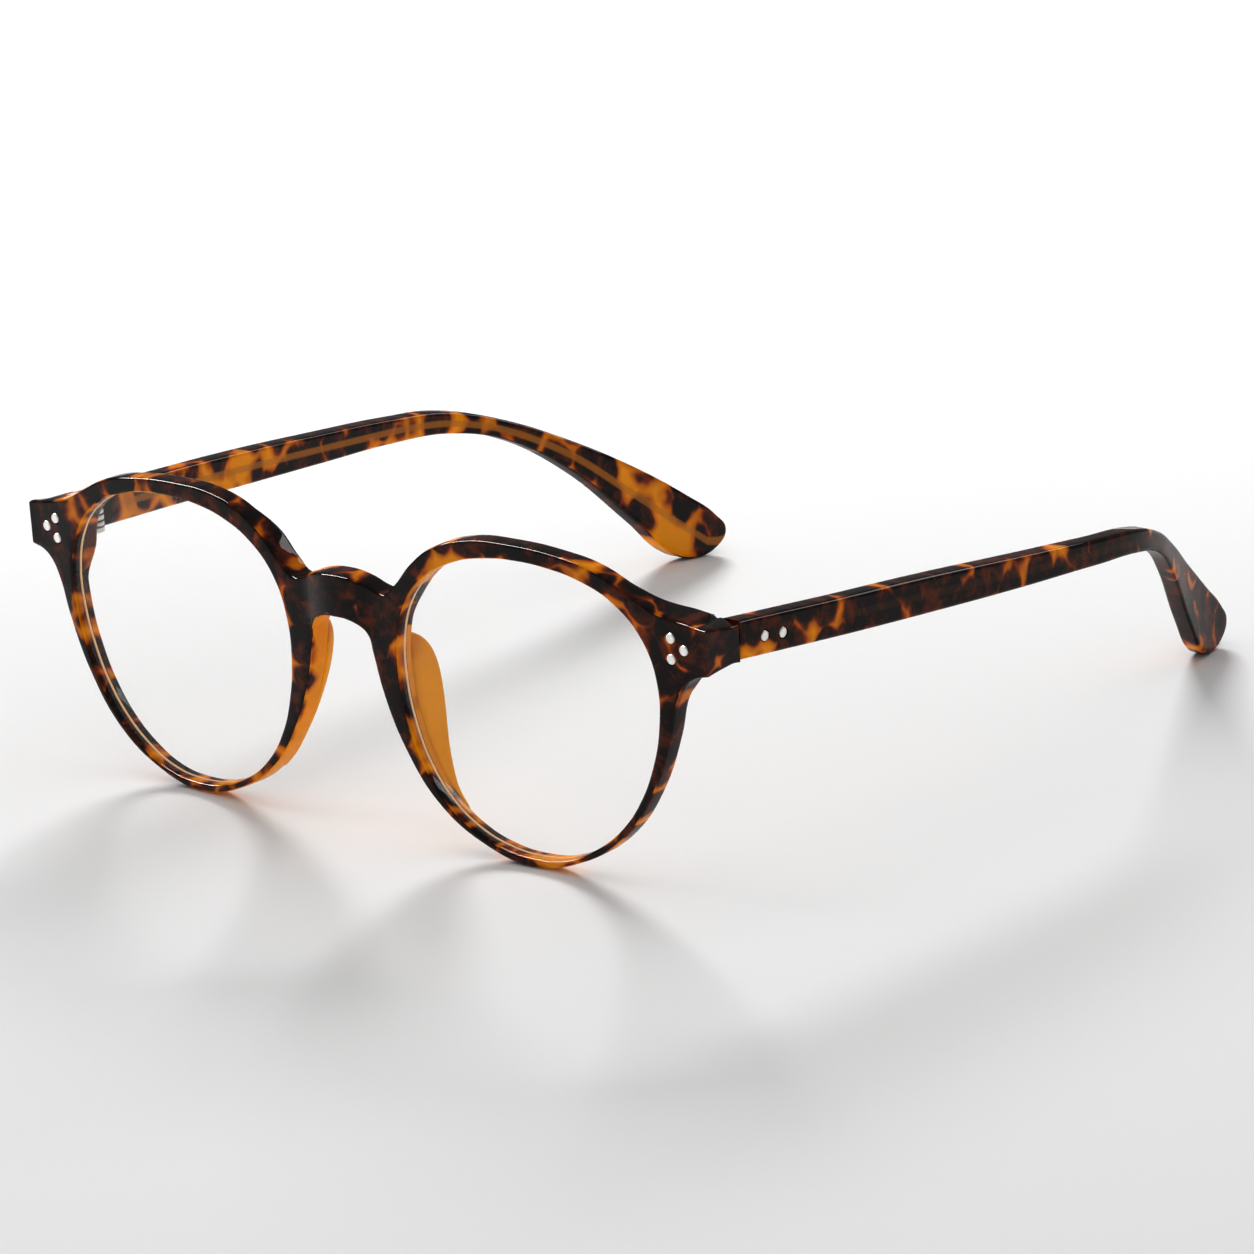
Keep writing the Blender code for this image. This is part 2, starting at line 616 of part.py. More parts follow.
def main():
    for obj in list(bpy.data.objects):
        bpy.data.objects.remove(obj, do_unlink=True)
    acetate = material("tortoiseshell_acetate", TORTOISE, 0.08)
    honey = material("honey_acetate", HONEY, 0.12)
    clear = material("clear_lens", CLEAR, 0.02, alpha=0.25)
    steel = material("polished_steel", STEEL, 0.2, metallic=1.0)
    make_front(acetate)
    for word, side in (("left", 1), ("right", -1)):
        make_lens(f"lens_{word}", side, clear)
        make_nose_pad(f"nose_pad_{word}", side, honey)
        make_temple(f"temple_{word}", side, acetate)
        add_object(f"core_wire_{word}", tube(core_route(0), CORE_R, 8), steel, side)
        make_front_leaf(f"hinge_front_{word}", side, steel)
        make_temple_leaf(f"hinge_temple_{word}", side, steel)
        make_screw(f"hinge_screw_{word}", side, steel)
        for number, (x, z) in enumerate(FRONT_RIVETS, 1):
            make_front_rivet(f"front_rivet_{word}_{number}", side, x, z, steel)
        for number, (y, z) in enumerate(TEMPLE_RIVETS, 1):
            make_temple_rivet(f"temple_rivet_{word}_{number}", side, y, z, steel)


main()
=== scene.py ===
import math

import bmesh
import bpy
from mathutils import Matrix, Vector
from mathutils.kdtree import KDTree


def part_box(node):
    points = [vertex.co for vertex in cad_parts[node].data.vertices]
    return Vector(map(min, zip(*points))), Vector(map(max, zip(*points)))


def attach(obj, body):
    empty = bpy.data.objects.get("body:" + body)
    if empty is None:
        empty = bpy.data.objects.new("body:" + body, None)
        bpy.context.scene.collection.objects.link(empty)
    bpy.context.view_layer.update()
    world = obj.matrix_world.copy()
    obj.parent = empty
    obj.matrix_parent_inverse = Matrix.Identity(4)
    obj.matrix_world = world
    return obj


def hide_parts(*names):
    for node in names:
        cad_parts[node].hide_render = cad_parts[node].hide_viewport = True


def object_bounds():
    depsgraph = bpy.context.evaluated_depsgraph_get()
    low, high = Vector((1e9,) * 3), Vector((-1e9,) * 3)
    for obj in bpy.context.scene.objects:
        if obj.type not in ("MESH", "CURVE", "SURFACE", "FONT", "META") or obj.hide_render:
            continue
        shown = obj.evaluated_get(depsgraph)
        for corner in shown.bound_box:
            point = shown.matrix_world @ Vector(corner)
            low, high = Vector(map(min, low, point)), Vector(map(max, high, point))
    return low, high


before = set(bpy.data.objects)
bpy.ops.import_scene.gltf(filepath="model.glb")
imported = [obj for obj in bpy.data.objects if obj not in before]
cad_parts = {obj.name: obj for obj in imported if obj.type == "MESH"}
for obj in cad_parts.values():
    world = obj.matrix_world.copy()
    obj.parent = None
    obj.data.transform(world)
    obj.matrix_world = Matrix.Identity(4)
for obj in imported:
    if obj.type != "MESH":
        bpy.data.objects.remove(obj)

# %% [markdown]
# # Round tortoiseshell spectacles
#
# The pair is an acetate front with two lenses, two saddle nose pads bonded behind the bridge, and
# two temples on small riveted hinges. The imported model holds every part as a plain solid. Here the
# acetate, the pads, the lenses and the rivets are made again with soft polished edges, and each
# keeps the place that the model gives it. The front hinge leaves, the screws and the wires keep their
# own solids.

MM = 0.001
cad_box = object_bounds()
print("model box", [[round(v, 5) for v in corner] for corner in cad_box])

# %% [markdown]
# ## The drawing
#
# A spectacle front is drawn flat, as a router cuts it from a 3.4 mm sheet, and only then bent. The
# drawing is one half of the outline and one lens opening, in millimetres across and up. Numbers
# measured back from the face start at the front's foot, which is found from the front's own box.

# %% Drawing: face, outline and opening
FACE_RADIUS = 716.0              # the front is bent to this radius in plan
FACE_LEAN = math.radians(1.1)    # its top leans forward
SHEET = 3.4                      # acetate sheet
POLISH = 0.45                    # edge radius left by tumbling
BRIDGE_HALF = 6.3                # half the bridge's width
BRIDGE_BULGE = 1.2               # how far its middle stands forward
BRIDGE_CREST = 41.15             # height on the drawing of the point that stands furthest forward
BRIDGE_BACK = 0.3                # extra thickness behind the bridge
FLOOR_CUT = 0.57                 # the drawing's zero lies this far under the floor
CORNER = 70.6                    # where the end piece turns back
END_SWELL = 3.2                  # extra thickness behind the end piece
END_TAPER = 0.055                # its side closes in towards the temple
front_low, front_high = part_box("front")
FRONT_Y = front_low.y / MM + BRIDGE_BULGE + BRIDGE_CREST * math.sin(FACE_LEAN)
JOINT_Y = front_high.y / MM - FRONT_Y

OUTLINE = (
    (0.0, 41.6), (4.6, 41.0), (8.0, 39.75), (9.3, 39.5), (11.9, 41.4),
    (15.2, 44.9), (20.0, 48.25), (26.5, 50.3), (35.0, 50.75), (43.5, 50.2),
    (50.5, 48.9), (56.3, 46.4), (61.0, 44.1), (65.0, 43.1), (68.0, 42.6), (72.0, 42.0),
    (76.0, 41.2), (80.0, 40.4), (80.0, 35.6), (76.0, 35.4), (72.0, 35.1), (69.8, 34.8),
    (68.2, 34.4), (66.5, 33.3),
    (64.8, 30.6), (63.0, 24.6), (59.4, 16.2), (53.2, 8.0), (44.6, 2.7),
    (35.0, FLOOR_CUT), (25.6, 2.7), (17.2, 7.8), (11.4, 15.4), (7.9, 23.3),
    (6.25, 29.8), (5.5, 32.8), (3.4, 34.3), (0.0, 34.8),
)
OPENING = (
    (60.9, 25.9), (61.1, 32.6), (58.9, 39.1), (54.2, 44.0), (48.1, 46.75), (41.9, 47.95),
    (36.0, 48.3), (30.1, 47.9), (24.1, 46.55), (18.3, 43.6), (13.8, 38.7), (11.65, 32.4),
    (11.45, 25.9), (12.55, 19.6), (14.85, 13.65), (18.65, 8.5), (23.8, 4.7), (29.75, 2.6),
    (36.0, 2.0), (42.2, 2.8), (47.9, 5.4), (52.75, 9.2), (56.55, 14.05), (59.25, 19.7),
)
OPENING_MIDDLE = Vector((36.1, 25.1, 0.0))
SMOOTHNESS = 6                   # points that the curve adds between two drawn ones
print("front foot at", round(FRONT_Y, 2), "mm, end pieces reach back", round(JOINT_Y, 2), "mm")

# %% [markdown]
# ## Helpers for outlines
#
# A curve with automatic handles turns a few drawn points into an even flowing line. The same kind
# of curve, filled and bevelled, gives a sheet with polished edges, which is turned up to stand on
# its edge. Both are made a mesh straight away, so that nothing is left unapplied.


# %% Helpers: flowing lines and polished sheets
def curve_mesh(data):
    """The mesh that a curve makes, as a bmesh."""
    holder = bpy.data.objects.new(data.name, data)
    bpy.context.scene.collection.objects.link(holder)
    graph = bpy.context.evaluated_depsgraph_get()
    bm = bmesh.new()
    bm.from_mesh(holder.evaluated_get(graph).to_mesh())
    bpy.data.objects.remove(holder)
    bpy.data.curves.remove(data)
    return bm


def flowing(points, steps, closed=True):
    """Even points on a curve through the drawn ones."""
    data = bpy.data.curves.new("line", "CURVE")
    data.dimensions = "3D"
    data.resolution_u = steps
    spline = data.splines.new("BEZIER")
    spline.bezier_points.add(len(points) - 1)
    spline.use_cyclic_u = closed
    for knot, point in zip(spline.bezier_points, points):
        knot.co = (*point, 0)[:3]
        knot.handle_left_type = "AUTO"
        knot.handle_right_type = "AUTO"
    bm = curve_mesh(data)
    found = [vertex.co.copy() for vertex in bm.verts]
    bm.free()
    return found


def polished_sheet(loops, thick, rounding, segments=4):
    """A sheet standing on its edge, its front at y = 0, with every edge rounded."""
    data = bpy.data.curves.new("sheet", "CURVE")
    data.dimensions = "2D"
    data.fill_mode = "BOTH"
    data.extrude = thick / 2 - rounding
    data.bevel_depth = rounding
    data.bevel_resolution = segments
    data.offset = -rounding
    for loop in loops:
        spline = data.splines.new("POLY")
        spline.points.add(len(loop) - 1)
        spline.use_cyclic_u = True
        for knot, point in zip(spline.points, loop):
            knot.co = (point[0], point[1], 0, 1)
    bm = curve_mesh(data)
    bmesh.ops.remove_doubles(bm, verts=bm.verts, dist=0.001)
    bmesh.ops.rotate(bm, verts=bm.verts, cent=(0, 0, 0), matrix=Matrix.Rotation(math.pi / 2, 3, "X"))
    bmesh.ops.translate(bm, verts=bm.verts, vec=(0, thick / 2, 0))
    bmesh.ops.recalc_face_normals(bm, faces=bm.faces)
    return bm


def cut_at(bm, point, direction, clear_outer=False):
    """Cuts the mesh along a plane, and can throw away what lies beyond it."""
    return bmesh.ops.bisect_plane(bm, geom=bm.verts[:] + bm.edges[:] + bm.faces[:], dist=0.0005,
                                  plane_co=point, plane_no=direction, clear_outer=clear_outer)


def smooth_step(low, high, value):
    """Goes softly from 0 at low to 1 at high."""
    share = min(max((value - low) / (high - low), 0), 1)
    return share * share * (3 - 2 * share)


def face_point(across, up, depth):
    """Puts a point of the flat drawing on the bent, leaning face."""
    turn = across / FACE_RADIUS
    back = FACE_RADIUS * (1 - math.cos(turn)) + depth * math.cos(turn)
    return Vector(((FACE_RADIUS - depth) * math.sin(turn),
                   back * math.cos(FACE_LEAN) - up * math.sin(FACE_LEAN),
                   up * math.cos(FACE_LEAN) + back * math.sin(FACE_LEAN) - FLOOR_CUT))


print("a point at the bridge's top middle:", [round(v, 2) for v in face_point(0, 41.6, 0)])

# %% [markdown]
# ## Making a piece
#
# Every piece ends in the same way. It is moved to the front's place, turned into metres, shaded
# smooth with its true corners kept sharp, given its finish and hung on the body it rides on, and
# the plain solid it stands for is hidden. A cutter takes material away with an exact boolean, as a
# drill or a saw would.


# %% Helpers: cutters and finished pieces
def work_object(bm):
    """A passing object for a modifier to work on."""
    mesh = bpy.data.meshes.new("work")
    bm.to_mesh(mesh)
    bm.free()
    obj = bpy.data.objects.new("work", mesh)
    bpy.context.scene.collection.objects.link(obj)
    return obj


TINY = 0.002                     # nearer than this, two points are one


def cut_away(bm, cutter):
    """Takes the cutter's space out of a piece."""
    target, tool = work_object(bm), work_object(cutter)
    cut = target.modifiers.new("cut", "BOOLEAN")
    cut.solver = "EXACT"
    cut.operation = "DIFFERENCE"
    cut.object = tool
    graph = bpy.context.evaluated_depsgraph_get()
    result = bmesh.new()
    result.from_mesh(target.evaluated_get(graph).to_mesh())
    for obj in (target, tool):
        bpy.data.meshes.remove(obj.data)
    bmesh.ops.remove_doubles(result, verts=result.verts, dist=TINY)
    bmesh.ops.dissolve_degenerate(result, edges=result.edges, dist=TINY)
    return result


def mirrored(bm):
    """The same piece for the wearer's other side."""
    bmesh.ops.scale(bm, verts=bm.verts, vec=(-1, 1, 1))
    bmesh.ops.reverse_faces(bm, faces=bm.faces)
    return bm


def finish_piece(name, bm, finishes, body, nodes, side=1, sharp=30):
    """Makes the finished object, hangs it on its body and hides the plain solids it stands for."""
    if side < 0:
        mirrored(bm)
    bmesh.ops.translate(bm, verts=bm.verts, vec=(0, FRONT_Y, 0))
    bmesh.ops.scale(bm, verts=bm.verts, vec=(MM, MM, MM))
    mesh = bpy.data.meshes.new(name)
    bm.to_mesh(mesh)
    bm.free()
    mesh.shade_smooth()
    mesh.set_sharp_from_angle(angle=math.radians(sharp))
    piece = bpy.data.objects.new(name, mesh)
    for finish in finishes:
        mesh.materials.append(finish)
    bpy.context.scene.collection.objects.link(piece)
    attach(piece, body)
    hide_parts(*nodes)
    print(name, "has", len(mesh.polygons), "faces")
    return piece


# %% [markdown]
# ## Node helpers
#
# The finishes are built from a handful of shader nodes. A short helper adds a node and joins it to
# what comes before. A socket is called by its name, or by its number as i0, i1 and so on. Plain
# numbers for the whole surface go straight to the shader's own sockets.


# %% Helpers: shader nodes
def start_finish(name):
    """A new material with its Principled shader, and a helper that adds nodes to it."""
    made = bpy.data.materials.new(name)
    made.use_nodes = True
    tree = made.node_tree
    shader = tree.nodes["Principled BSDF"]

    def add(kind, settings=None, **joined):
        node = tree.nodes.new(kind)
        for key, value in (settings or {}).items():
            setattr(node, key, value)
        for key, value in joined.items():
            by_number = key[1:].isdigit()
            socket = node.inputs[int(key[1:]) if by_number else key.replace("_", " ")]
            if isinstance(value, bpy.types.NodeSocket):
                tree.links.new(value, socket)
            else:
                socket.default_value = value
        return node

    return made, tree, shader, add


def set_shader(shader, **plain):
    """Sets the shader's plain sockets by name."""
    for key, value in plain.items():
        shader.inputs[key.replace("_", " ")].default_value = value


def ramp(add, tree, factor, stops, easing="EASE"):
    """A colour ramp through (position, colour) stops."""
    node = add("ShaderNodeValToRGB", i0=factor)
    node.color_ramp.interpolation = easing
    elements = node.color_ramp.elements
    while len(elements) < len(stops):
        elements.new(0.5)
    for element, (position, colour) in zip(elements, stops):
        element.position = position
        element.color = (*colour, 1.0)
    return node.outputs["Color"]


print("helpers ready")

# %% [markdown]
# ## Tortoiseshell acetate
#
# Acetate of this kind is made by pressing dark brown chips and honey coloured chips together into
# a block. The dark chips end up as rounded blotches, and the honey shows in the angular gaps that
# are left between them, with a thin rusty band where the two colours run together. A Voronoi
# texture gives just that: the distance from each cell's middle is dark near the middle and honey
# at the corners. It is bent by noise first, so that no blotch is a perfect disc. The gloss is all in
# a thin clear coat, as on a polished sheet, so the colours below stay deep. Light that comes through
# the thin edges is painted into the colour: an attribute named glow says at each corner of a
# face how far painted light opens up the honey there, below zero it paints shade, and a little
# emission paints that light in too. The temples have a wire along their middle that shows as a
# paler line, which follows a UV map that holds the distance from the wire.

# %% Finish: tortoiseshell acetate
CHIP_DARK = (0.0050, 0.0026, 0.0020)
CHIP_BROWN = (0.020, 0.0050, 0.0024)
RUST = (0.16, 0.024, 0.0018)
AMBER = (0.43, 0.105, 0.0006)
HONEY = (0.72, 0.262, 0.0012)
CLOUD = (0.10, 0.014, 0.0015)
WIRE_SHOWN = (0.42, 0.15, 0.014, 1.0)
BLACK = (0, 0, 0)
ACETATE_BENDS_LIGHT = 1.49
CHIP_BEND = (0.9, 0.9, 0.9)      # how far noise pushes the chips
DRIFT_SHARE = 0.4                # how much the share of dark wanders over the sheet
GLOW_SHARE = 0.3                 # how much a lit edge opens the honey
WIRE_HALF = 0.035                # half the wire's paler line, in centimetres, as the UV map holds it
WIRE_FADE = 0.075                # where the paler line has faded out


def tortoiseshell(name, chip, stretch, shift, dark_share, core=False):
    """chip is a blotch's size in mm, and stretch its relative width along x, y and z."""
    made, tree, shader, add = start_finish(name)
    place = add("ShaderNodeTexCoord").outputs["Object"]
    scaled = add("ShaderNodeMapping", Vector=place, Location=shift,
                 Scale=tuple(1 / (MM * chip * s) for s in stretch)).outputs["Vector"]
    bend = add("ShaderNodeTexNoise", Vector=scaled, Scale=0.9, Detail=2.0, Roughness=0.5)
    centred = add("ShaderNodeVectorMath", {"operation": "SUBTRACT"}, i0=bend.outputs["Color"],
                  i1=(0.5, 0.5, 0.5)).outputs[0]
    bent = add("ShaderNodeVectorMath", {"operation": "MULTIPLY_ADD"}, i0=centred, i1=CHIP_BEND,
               i2=scaled).outputs[0]
    chips = add("ShaderNodeTexVoronoi", {"feature": "SMOOTH_F1"}, Vector=bent, Scale=1.0,
                Smoothness=0.12, Randomness=0.85).outputs["Distance"]
    drift = add("ShaderNodeTexNoise", Vector=scaled, Scale=0.28, Detail=1.0).outputs["Fac"]
    drifted = add("ShaderNodeMath", {"operation": "MULTIPLY_ADD"}, i0=drift, i1=DRIFT_SHARE,
                  i2=chips).outputs[0]
    # glow holds painted light through the edges, and painted shade where it is below zero.
    glow = add("ShaderNodeAttribute", {"attribute_name": "glow"}).outputs["Fac"]
    opened = add("ShaderNodeMath", {"operation": "MULTIPLY_ADD"}, i0=glow, i1=GLOW_SHARE,
                 i2=drifted).outputs[0]
    value = add("ShaderNodeMath", {"operation": "SUBTRACT"}, i0=opened, i1=dark_share).outputs[0]
    colour = ramp(add, tree, value, ((0.0, CHIP_DARK), (0.38, CHIP_DARK), (0.46, CHIP_BROWN),
                                     (0.51, RUST), (0.56, AMBER), (0.72, HONEY)), "LINEAR")
    # A finer noise gives the dark parts their cloudy red-brown depth.
    cloud = add("ShaderNodeTexNoise", Vector=bent, Scale=1.7, Detail=3.0, Roughness=0.55)
    depth = ramp(add, tree, cloud.outputs["Fac"], ((0.0, BLACK), (0.44, BLACK), (0.75, CLOUD)))
    colour = add("ShaderNodeMix", {"data_type": "RGBA", "blend_type": "ADD"}, i0=1.0, i6=colour,
                 i7=depth).outputs[2]
    if core:
        spread = add("ShaderNodeUVMap", {"uv_map": "core"}).outputs["UV"]
        parts = add("ShaderNodeSeparateXYZ", Vector=spread)
        off = add("ShaderNodeMath", {"operation": "ABSOLUTE"}, i0=parts.outputs["Y"]).outputs[0]
        line = add("ShaderNodeMapRange", {"interpolation_type": "SMOOTHSTEP"}, Value=off,
                   i1=WIRE_HALF, i2=WIRE_FADE, i3=0.62, i4=0.0).outputs[0]
        inside = add("ShaderNodeMath", {"operation": "MULTIPLY"}, i0=line,
                     i1=parts.outputs["X"]).outputs[0]
        colour = add("ShaderNodeMix", {"data_type": "RGBA"}, i0=inside, i6=colour,
                     i7=WIRE_SHOWN).outputs[2]
    tree.links.new(colour, shader.inputs["Base Color"])
    # The emission paints in the light that comes through the acetate.
    tree.links.new(colour, shader.inputs["Emission Color"])
    set_shader(shader, Roughness=0.07, IOR=ACETATE_BENDS_LIGHT, Specular_IOR_Level=0.0, Coat_Weight=0.45,
               Coat_Roughness=0.03, Emission_Strength=0.12)
    return made


front_shell = tortoiseshell("tortoiseshell_front", chip=5.0, stretch=(1.0, 1.5, 1.0),
                            shift=(3.1, 0.4, 1.7), dark_share=0.44)
temple_shell = tortoiseshell("tortoiseshell_temple", chip=5.2, stretch=(1.8, 0.95, 1.2),
                             shift=(0.7, 2.3, 5.2), dark_share=0.35, core=True)
print("finishes", front_shell.name, temple_shell.name)

# %% [markdown]
# ## Honey acetate
#
# The nose pads are clear honey acetate with a faint brown cloud towards the top. They are polished
# like the front. Light passes well into them, and a little emission in the same colour stands for
# it, which keeps their shadow side golden.

# %% Finish: honey acetate
pad_finish, pad_tree, pad_shader, pad_add = start_finish("honey_acetate")
pad_place = pad_add("ShaderNodeTexCoord").outputs["Object"]
pad_noise = pad_add("ShaderNodeTexNoise", Vector=pad_place, Scale=130.0, Detail=2.0).outputs["Fac"]
pad_parts = pad_add("ShaderNodeSeparateXYZ", Vector=pad_place)
PAD_CLOUD_LOW, PAD_CLOUD_HIGH = 24 * MM, 33 * MM
pad_up = pad_add("ShaderNodeMapRange", Value=pad_parts.outputs["Z"], i1=PAD_CLOUD_LOW,
                 i2=PAD_CLOUD_HIGH, i3=0.0, i4=0.6).outputs[0]
pad_mix = pad_add("ShaderNodeMath", {"operation": "MULTIPLY_ADD"}, i0=pad_noise, i1=0.5,
                  i2=pad_up).outputs[0]
PAD_COLOURS = ((0.0, (0.68, 0.27, 0.002)), (0.45, (0.62, 0.235, 0.002)),
               (0.72, (0.46, 0.14, 0.002)), (1.0, (0.12, 0.025, 0.002)))
pad_colour = ramp(pad_add, pad_tree, pad_mix, PAD_COLOURS)
pad_tree.links.new(pad_colour, pad_shader.inputs["Base Color"])
pad_tree.links.new(pad_colour, pad_shader.inputs["Emission Color"])
set_shader(pad_shader, Roughness=0.12, IOR=ACETATE_BENDS_LIGHT, Specular_IOR_Level=0.0, Coat_Weight=0.2,
           Coat_Roughness=0.04, Emission_Strength=0.3)
print("finish", pad_finish.name)

# %% [markdown]
# ## Lens and its ground edge
#
# The lenses are clear and coated against reflections, so all that shows is the ground edge, which
# is frosted by the wheel and catches the light as a pale line inside the rim. The clear part is an
# almost fully transparent shader. The ground edge is painted cream for the honey light it takes
# from the rim around it, a little emission paints the light that it catches, and a fine grain is in
# its roughness.


# %% Finish: clear lens and ground edge
def lens_finish(name, colour, alpha, roughness, grain, painted_shine):
    """alpha says how much of the glass is seen, and painted_shine how strongly its edge glows with
    painted light.
    """
    made, tree, shader, add = start_finish(name)
    place = add("ShaderNodeTexCoord").outputs["Object"]
    noise = add("ShaderNodeTexNoise", Vector=place, Scale=grain, Detail=3.0).outputs["Fac"]
    tint = ramp(add, tree, noise, ((0.3, tuple(0.94 * c for c in colour)), (0.7, colour)))
    tree.links.new(tint, shader.inputs["Base Color"])
    rough = add("ShaderNodeMapRange", Value=noise, i1=0.2, i2=0.8, i3=roughness * 0.8,
                i4=roughness * 1.2).outputs[0]
    tree.links.new(rough, shader.inputs["Roughness"])
    tree.links.new(tint, shader.inputs["Emission Color"])
    set_shader(shader, Alpha=alpha, Emission_Strength=painted_shine, IOR=1.5)
    return made


clear_lens = lens_finish("clear_lens", (0.97, 0.98, 0.98), alpha=0.035, roughness=0.03, grain=90.0,
                         painted_shine=0.0)
# The ground edge's cream colour and its emission paint the honey light it catches from the rim.
ground_edge = lens_finish("lens_ground_edge", (0.95, 0.71, 0.44), alpha=0.9, roughness=0.45,
                          grain=2600.0, painted_shine=0.22)
print("finishes", clear_lens.name, ground_edge.name)

# %% [markdown]
# ## Steel
#
# The hinges and the wires are drawn steel, brushed along their length by the tools that form them,
# and the rivets are filed flush and polished. Both have fine scratches in the roughness and a small
# bump, at different sizes.


# %% Finish: steel
def steel(name, colour, roughness, stretch, bump):
    """Scratched metal; stretch sets how fine the scratches are along x, y and z."""
    made, tree, shader, add = start_finish(name)
    place = add("ShaderNodeTexCoord").outputs["Object"]
    along = add("ShaderNodeMapping", Vector=place, Scale=stretch).outputs["Vector"]
    scratches = add("ShaderNodeTexNoise", Vector=along, Scale=1.0, Detail=4.0,
                    Roughness=0.6).outputs["Fac"]
    tint = ramp(add, tree, scratches, ((0.25, tuple(0.84 * c for c in colour)), (0.75, colour)))
    tree.links.new(tint, shader.inputs["Base Color"])
    rough = add("ShaderNodeMapRange", Value=scratches, i1=0.2, i2=0.8, i3=roughness * 0.7,
                i4=roughness * 1.3).outputs[0]
    tree.links.new(rough, shader.inputs["Roughness"])
    lift = add("ShaderNodeBump", Height=scratches, Strength=bump, Distance=0.00002)
    tree.links.new(lift.outputs["Normal"], shader.inputs["Normal"])
    set_shader(shader, Metallic=1.0)
    return made


hinge_steel = steel("hinge_steel", (0.66, 0.64, 0.61), roughness=0.26,
                    stretch=(900.0, 900.0, 9000.0), bump=0.3)
rivet_steel = steel("rivet_steel", (0.98, 0.97, 0.94), roughness=0.36,
                    stretch=(3000.0, 3000.0, 3000.0), bump=0.15)
for node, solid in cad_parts.items():
    if node.startswith(("hinge_", "core_wire")):
        for place in solid.material_slots:
            place.material = hinge_steel
print("finishes", hinge_steel.name, rivet_steel.name)

# %% [markdown]
# ## The front
#
# The front is one sheet. It is cut out with both openings, its end pieces still flat and long. A
# slanting cut at each corner makes the fold line, and everything beyond it is turned back a
# quarter turn, which keeps the polished edge running round the corner. The fold's sharp edges are
# then bevelled, as the polishing wheel would leave them. The bridge's face is bulged and the rest
# is bent to a large radius. The bent faces are no longer flat, so they are split into triangles
# before any cutter meets them, which keeps the cuts exact.


# %% Front: the outline and the opening
half = list(OUTLINE)
front_outline = flowing(half + [(-x, z) for x, z in reversed(half[1:-1])], SMOOTHNESS + 1)


def opening_loop(side, grow):
    """The lens opening's edge, grown outwards by a distance."""
    middle = Vector((side * OPENING_MIDDLE.x, OPENING_MIDDLE.y, 0))
    ring = flowing([(side * x, z) for x, z in OPENING], SMOOTHNESS)
    return [point + (point - middle).normalized() * grow for point in ring]


front = polished_sheet([front_outline] + [opening_loop(side, 0) for side in (1, -1)], SHEET, POLISH)
print("flat front", len(front.faces), "faces")

# %% Front: fold lines, then even cuts so that the sheet can bend
ACROSS_STEP, ACROSS_CUTS, UP_STEP, FRONT_TALL = 2.0, 33, 3, 50
for side in (1, -1):
    cut_at(front, (side * CORNER, 0, 0), (side, 1, 0))
grid = [x * ACROSS_STEP for x in range(-ACROSS_CUTS, ACROSS_CUTS + 1)] + [-BRIDGE_HALF, BRIDGE_HALF]
for x in grid:
    cut_at(front, (x, 0, 0), (1, 0, 0))
for z in range(UP_STEP, FRONT_TALL, UP_STEP):
    cut_at(front, (0, 0, z), (0, 0, 1))
beyond = {v for v in front.verts if abs(v.co.x) + v.co.y > CORNER + TINY / 2}
fold = [e for e in front.edges
        if all(abs(abs(v.co.x) + v.co.y - CORNER) < TINY for v in e.verts)]
print(len(fold), "edges on the two fold lines")


# %% Front: the bend, the bulge and the turned-back end pieces
def front_depth(across, depth, up):
    """Depth in the finished front: the bridge stands forward, and some places are thicker behind."""
    share = depth / SHEET
    bulge = BRIDGE_BULGE * max(0, 1 - (across / BRIDGE_HALF) ** 2)
    # The thicker places are beside the bridge's top, behind the bridge and behind the end pieces.
    swell = smooth_step(20, 15, abs(across)) * smooth_step(35, 41, up) * smooth_step(5, 10, abs(across))
    end = END_SWELL * smooth_step(55, 66, abs(across)) * smooth_step(30, 36, up)
    behind = swell + BRIDGE_BACK * smooth_step(8, 5, abs(across)) + end
    return depth + behind * share - bulge * (1 - share)


TOP_FALL, FOOT_RISE = 0.09, 0.08     # millimetres of levelling for each millimetre inwards


def end_level(across, up, reach):
    """Levels the end piece's top and bottom from its outer face to its inner one."""
    top = smooth_step(38, 41, up)
    bottom = smooth_step(37, 35, up) * smooth_step(32, 34, up)
    inner_fold = CORNER - SHEET
    lift = FOOT_RISE * bottom * smooth_step(60, 66.5, across)
    return reach * (lift - TOP_FALL * top * smooth_step(inner_fold, inner_fold + 1.6, across))


for vertex in front.verts:
    across, depth, up = vertex.co
    side = 1 if across > 0 else -1
    at = min(abs(across), CORNER - depth)
    up += end_level(abs(across), up, depth * (1 + front_depth(at, SHEET, up) / SHEET))
    if vertex in beyond:
        back = abs(across) + depth - CORNER
        spot = face_point(side * at, up, front_depth(at, depth, up))
        vertex.co = spot + Vector((-side * END_TAPER * back, back, 0))
    else:
        vertex.co = face_point(across, up, front_depth(across, depth, up))
bmesh.ops.bevel(front, geom=fold, offset=POLISH, segments=4, profile=0.5, affect="EDGES",
                material=-1, clamp_overlap=True)
cut_at(front, (0, JOINT_Y, 0), (0, 1, 0), clear_outer=True)
rim_edges = [e for e in front.edges if e.is_boundary]
bmesh.ops.holes_fill(front, edges=rim_edges, sides=0)
bmesh.ops.triangulate(front, faces=front.faces)
print("bent front", len(front.faces), "faces, open edges", sum(e.is_boundary for e in front.edges))

# %% [markdown]
# ### Groove, rivet holes and hinge pockets
#
# A cutter runs round each opening and leaves the groove that holds the lens. It is a ring, made by
# spreading a closed line to several distances and bridging them. The rivets go through drilled
# holes a little wider than themselves, and each hinge leaf lies in a milled pocket.


# %% Front: cutters
DISC_SHARES = (0.15, 0.4, 0.65, 0.85)     # rings that carry the crown across a disc


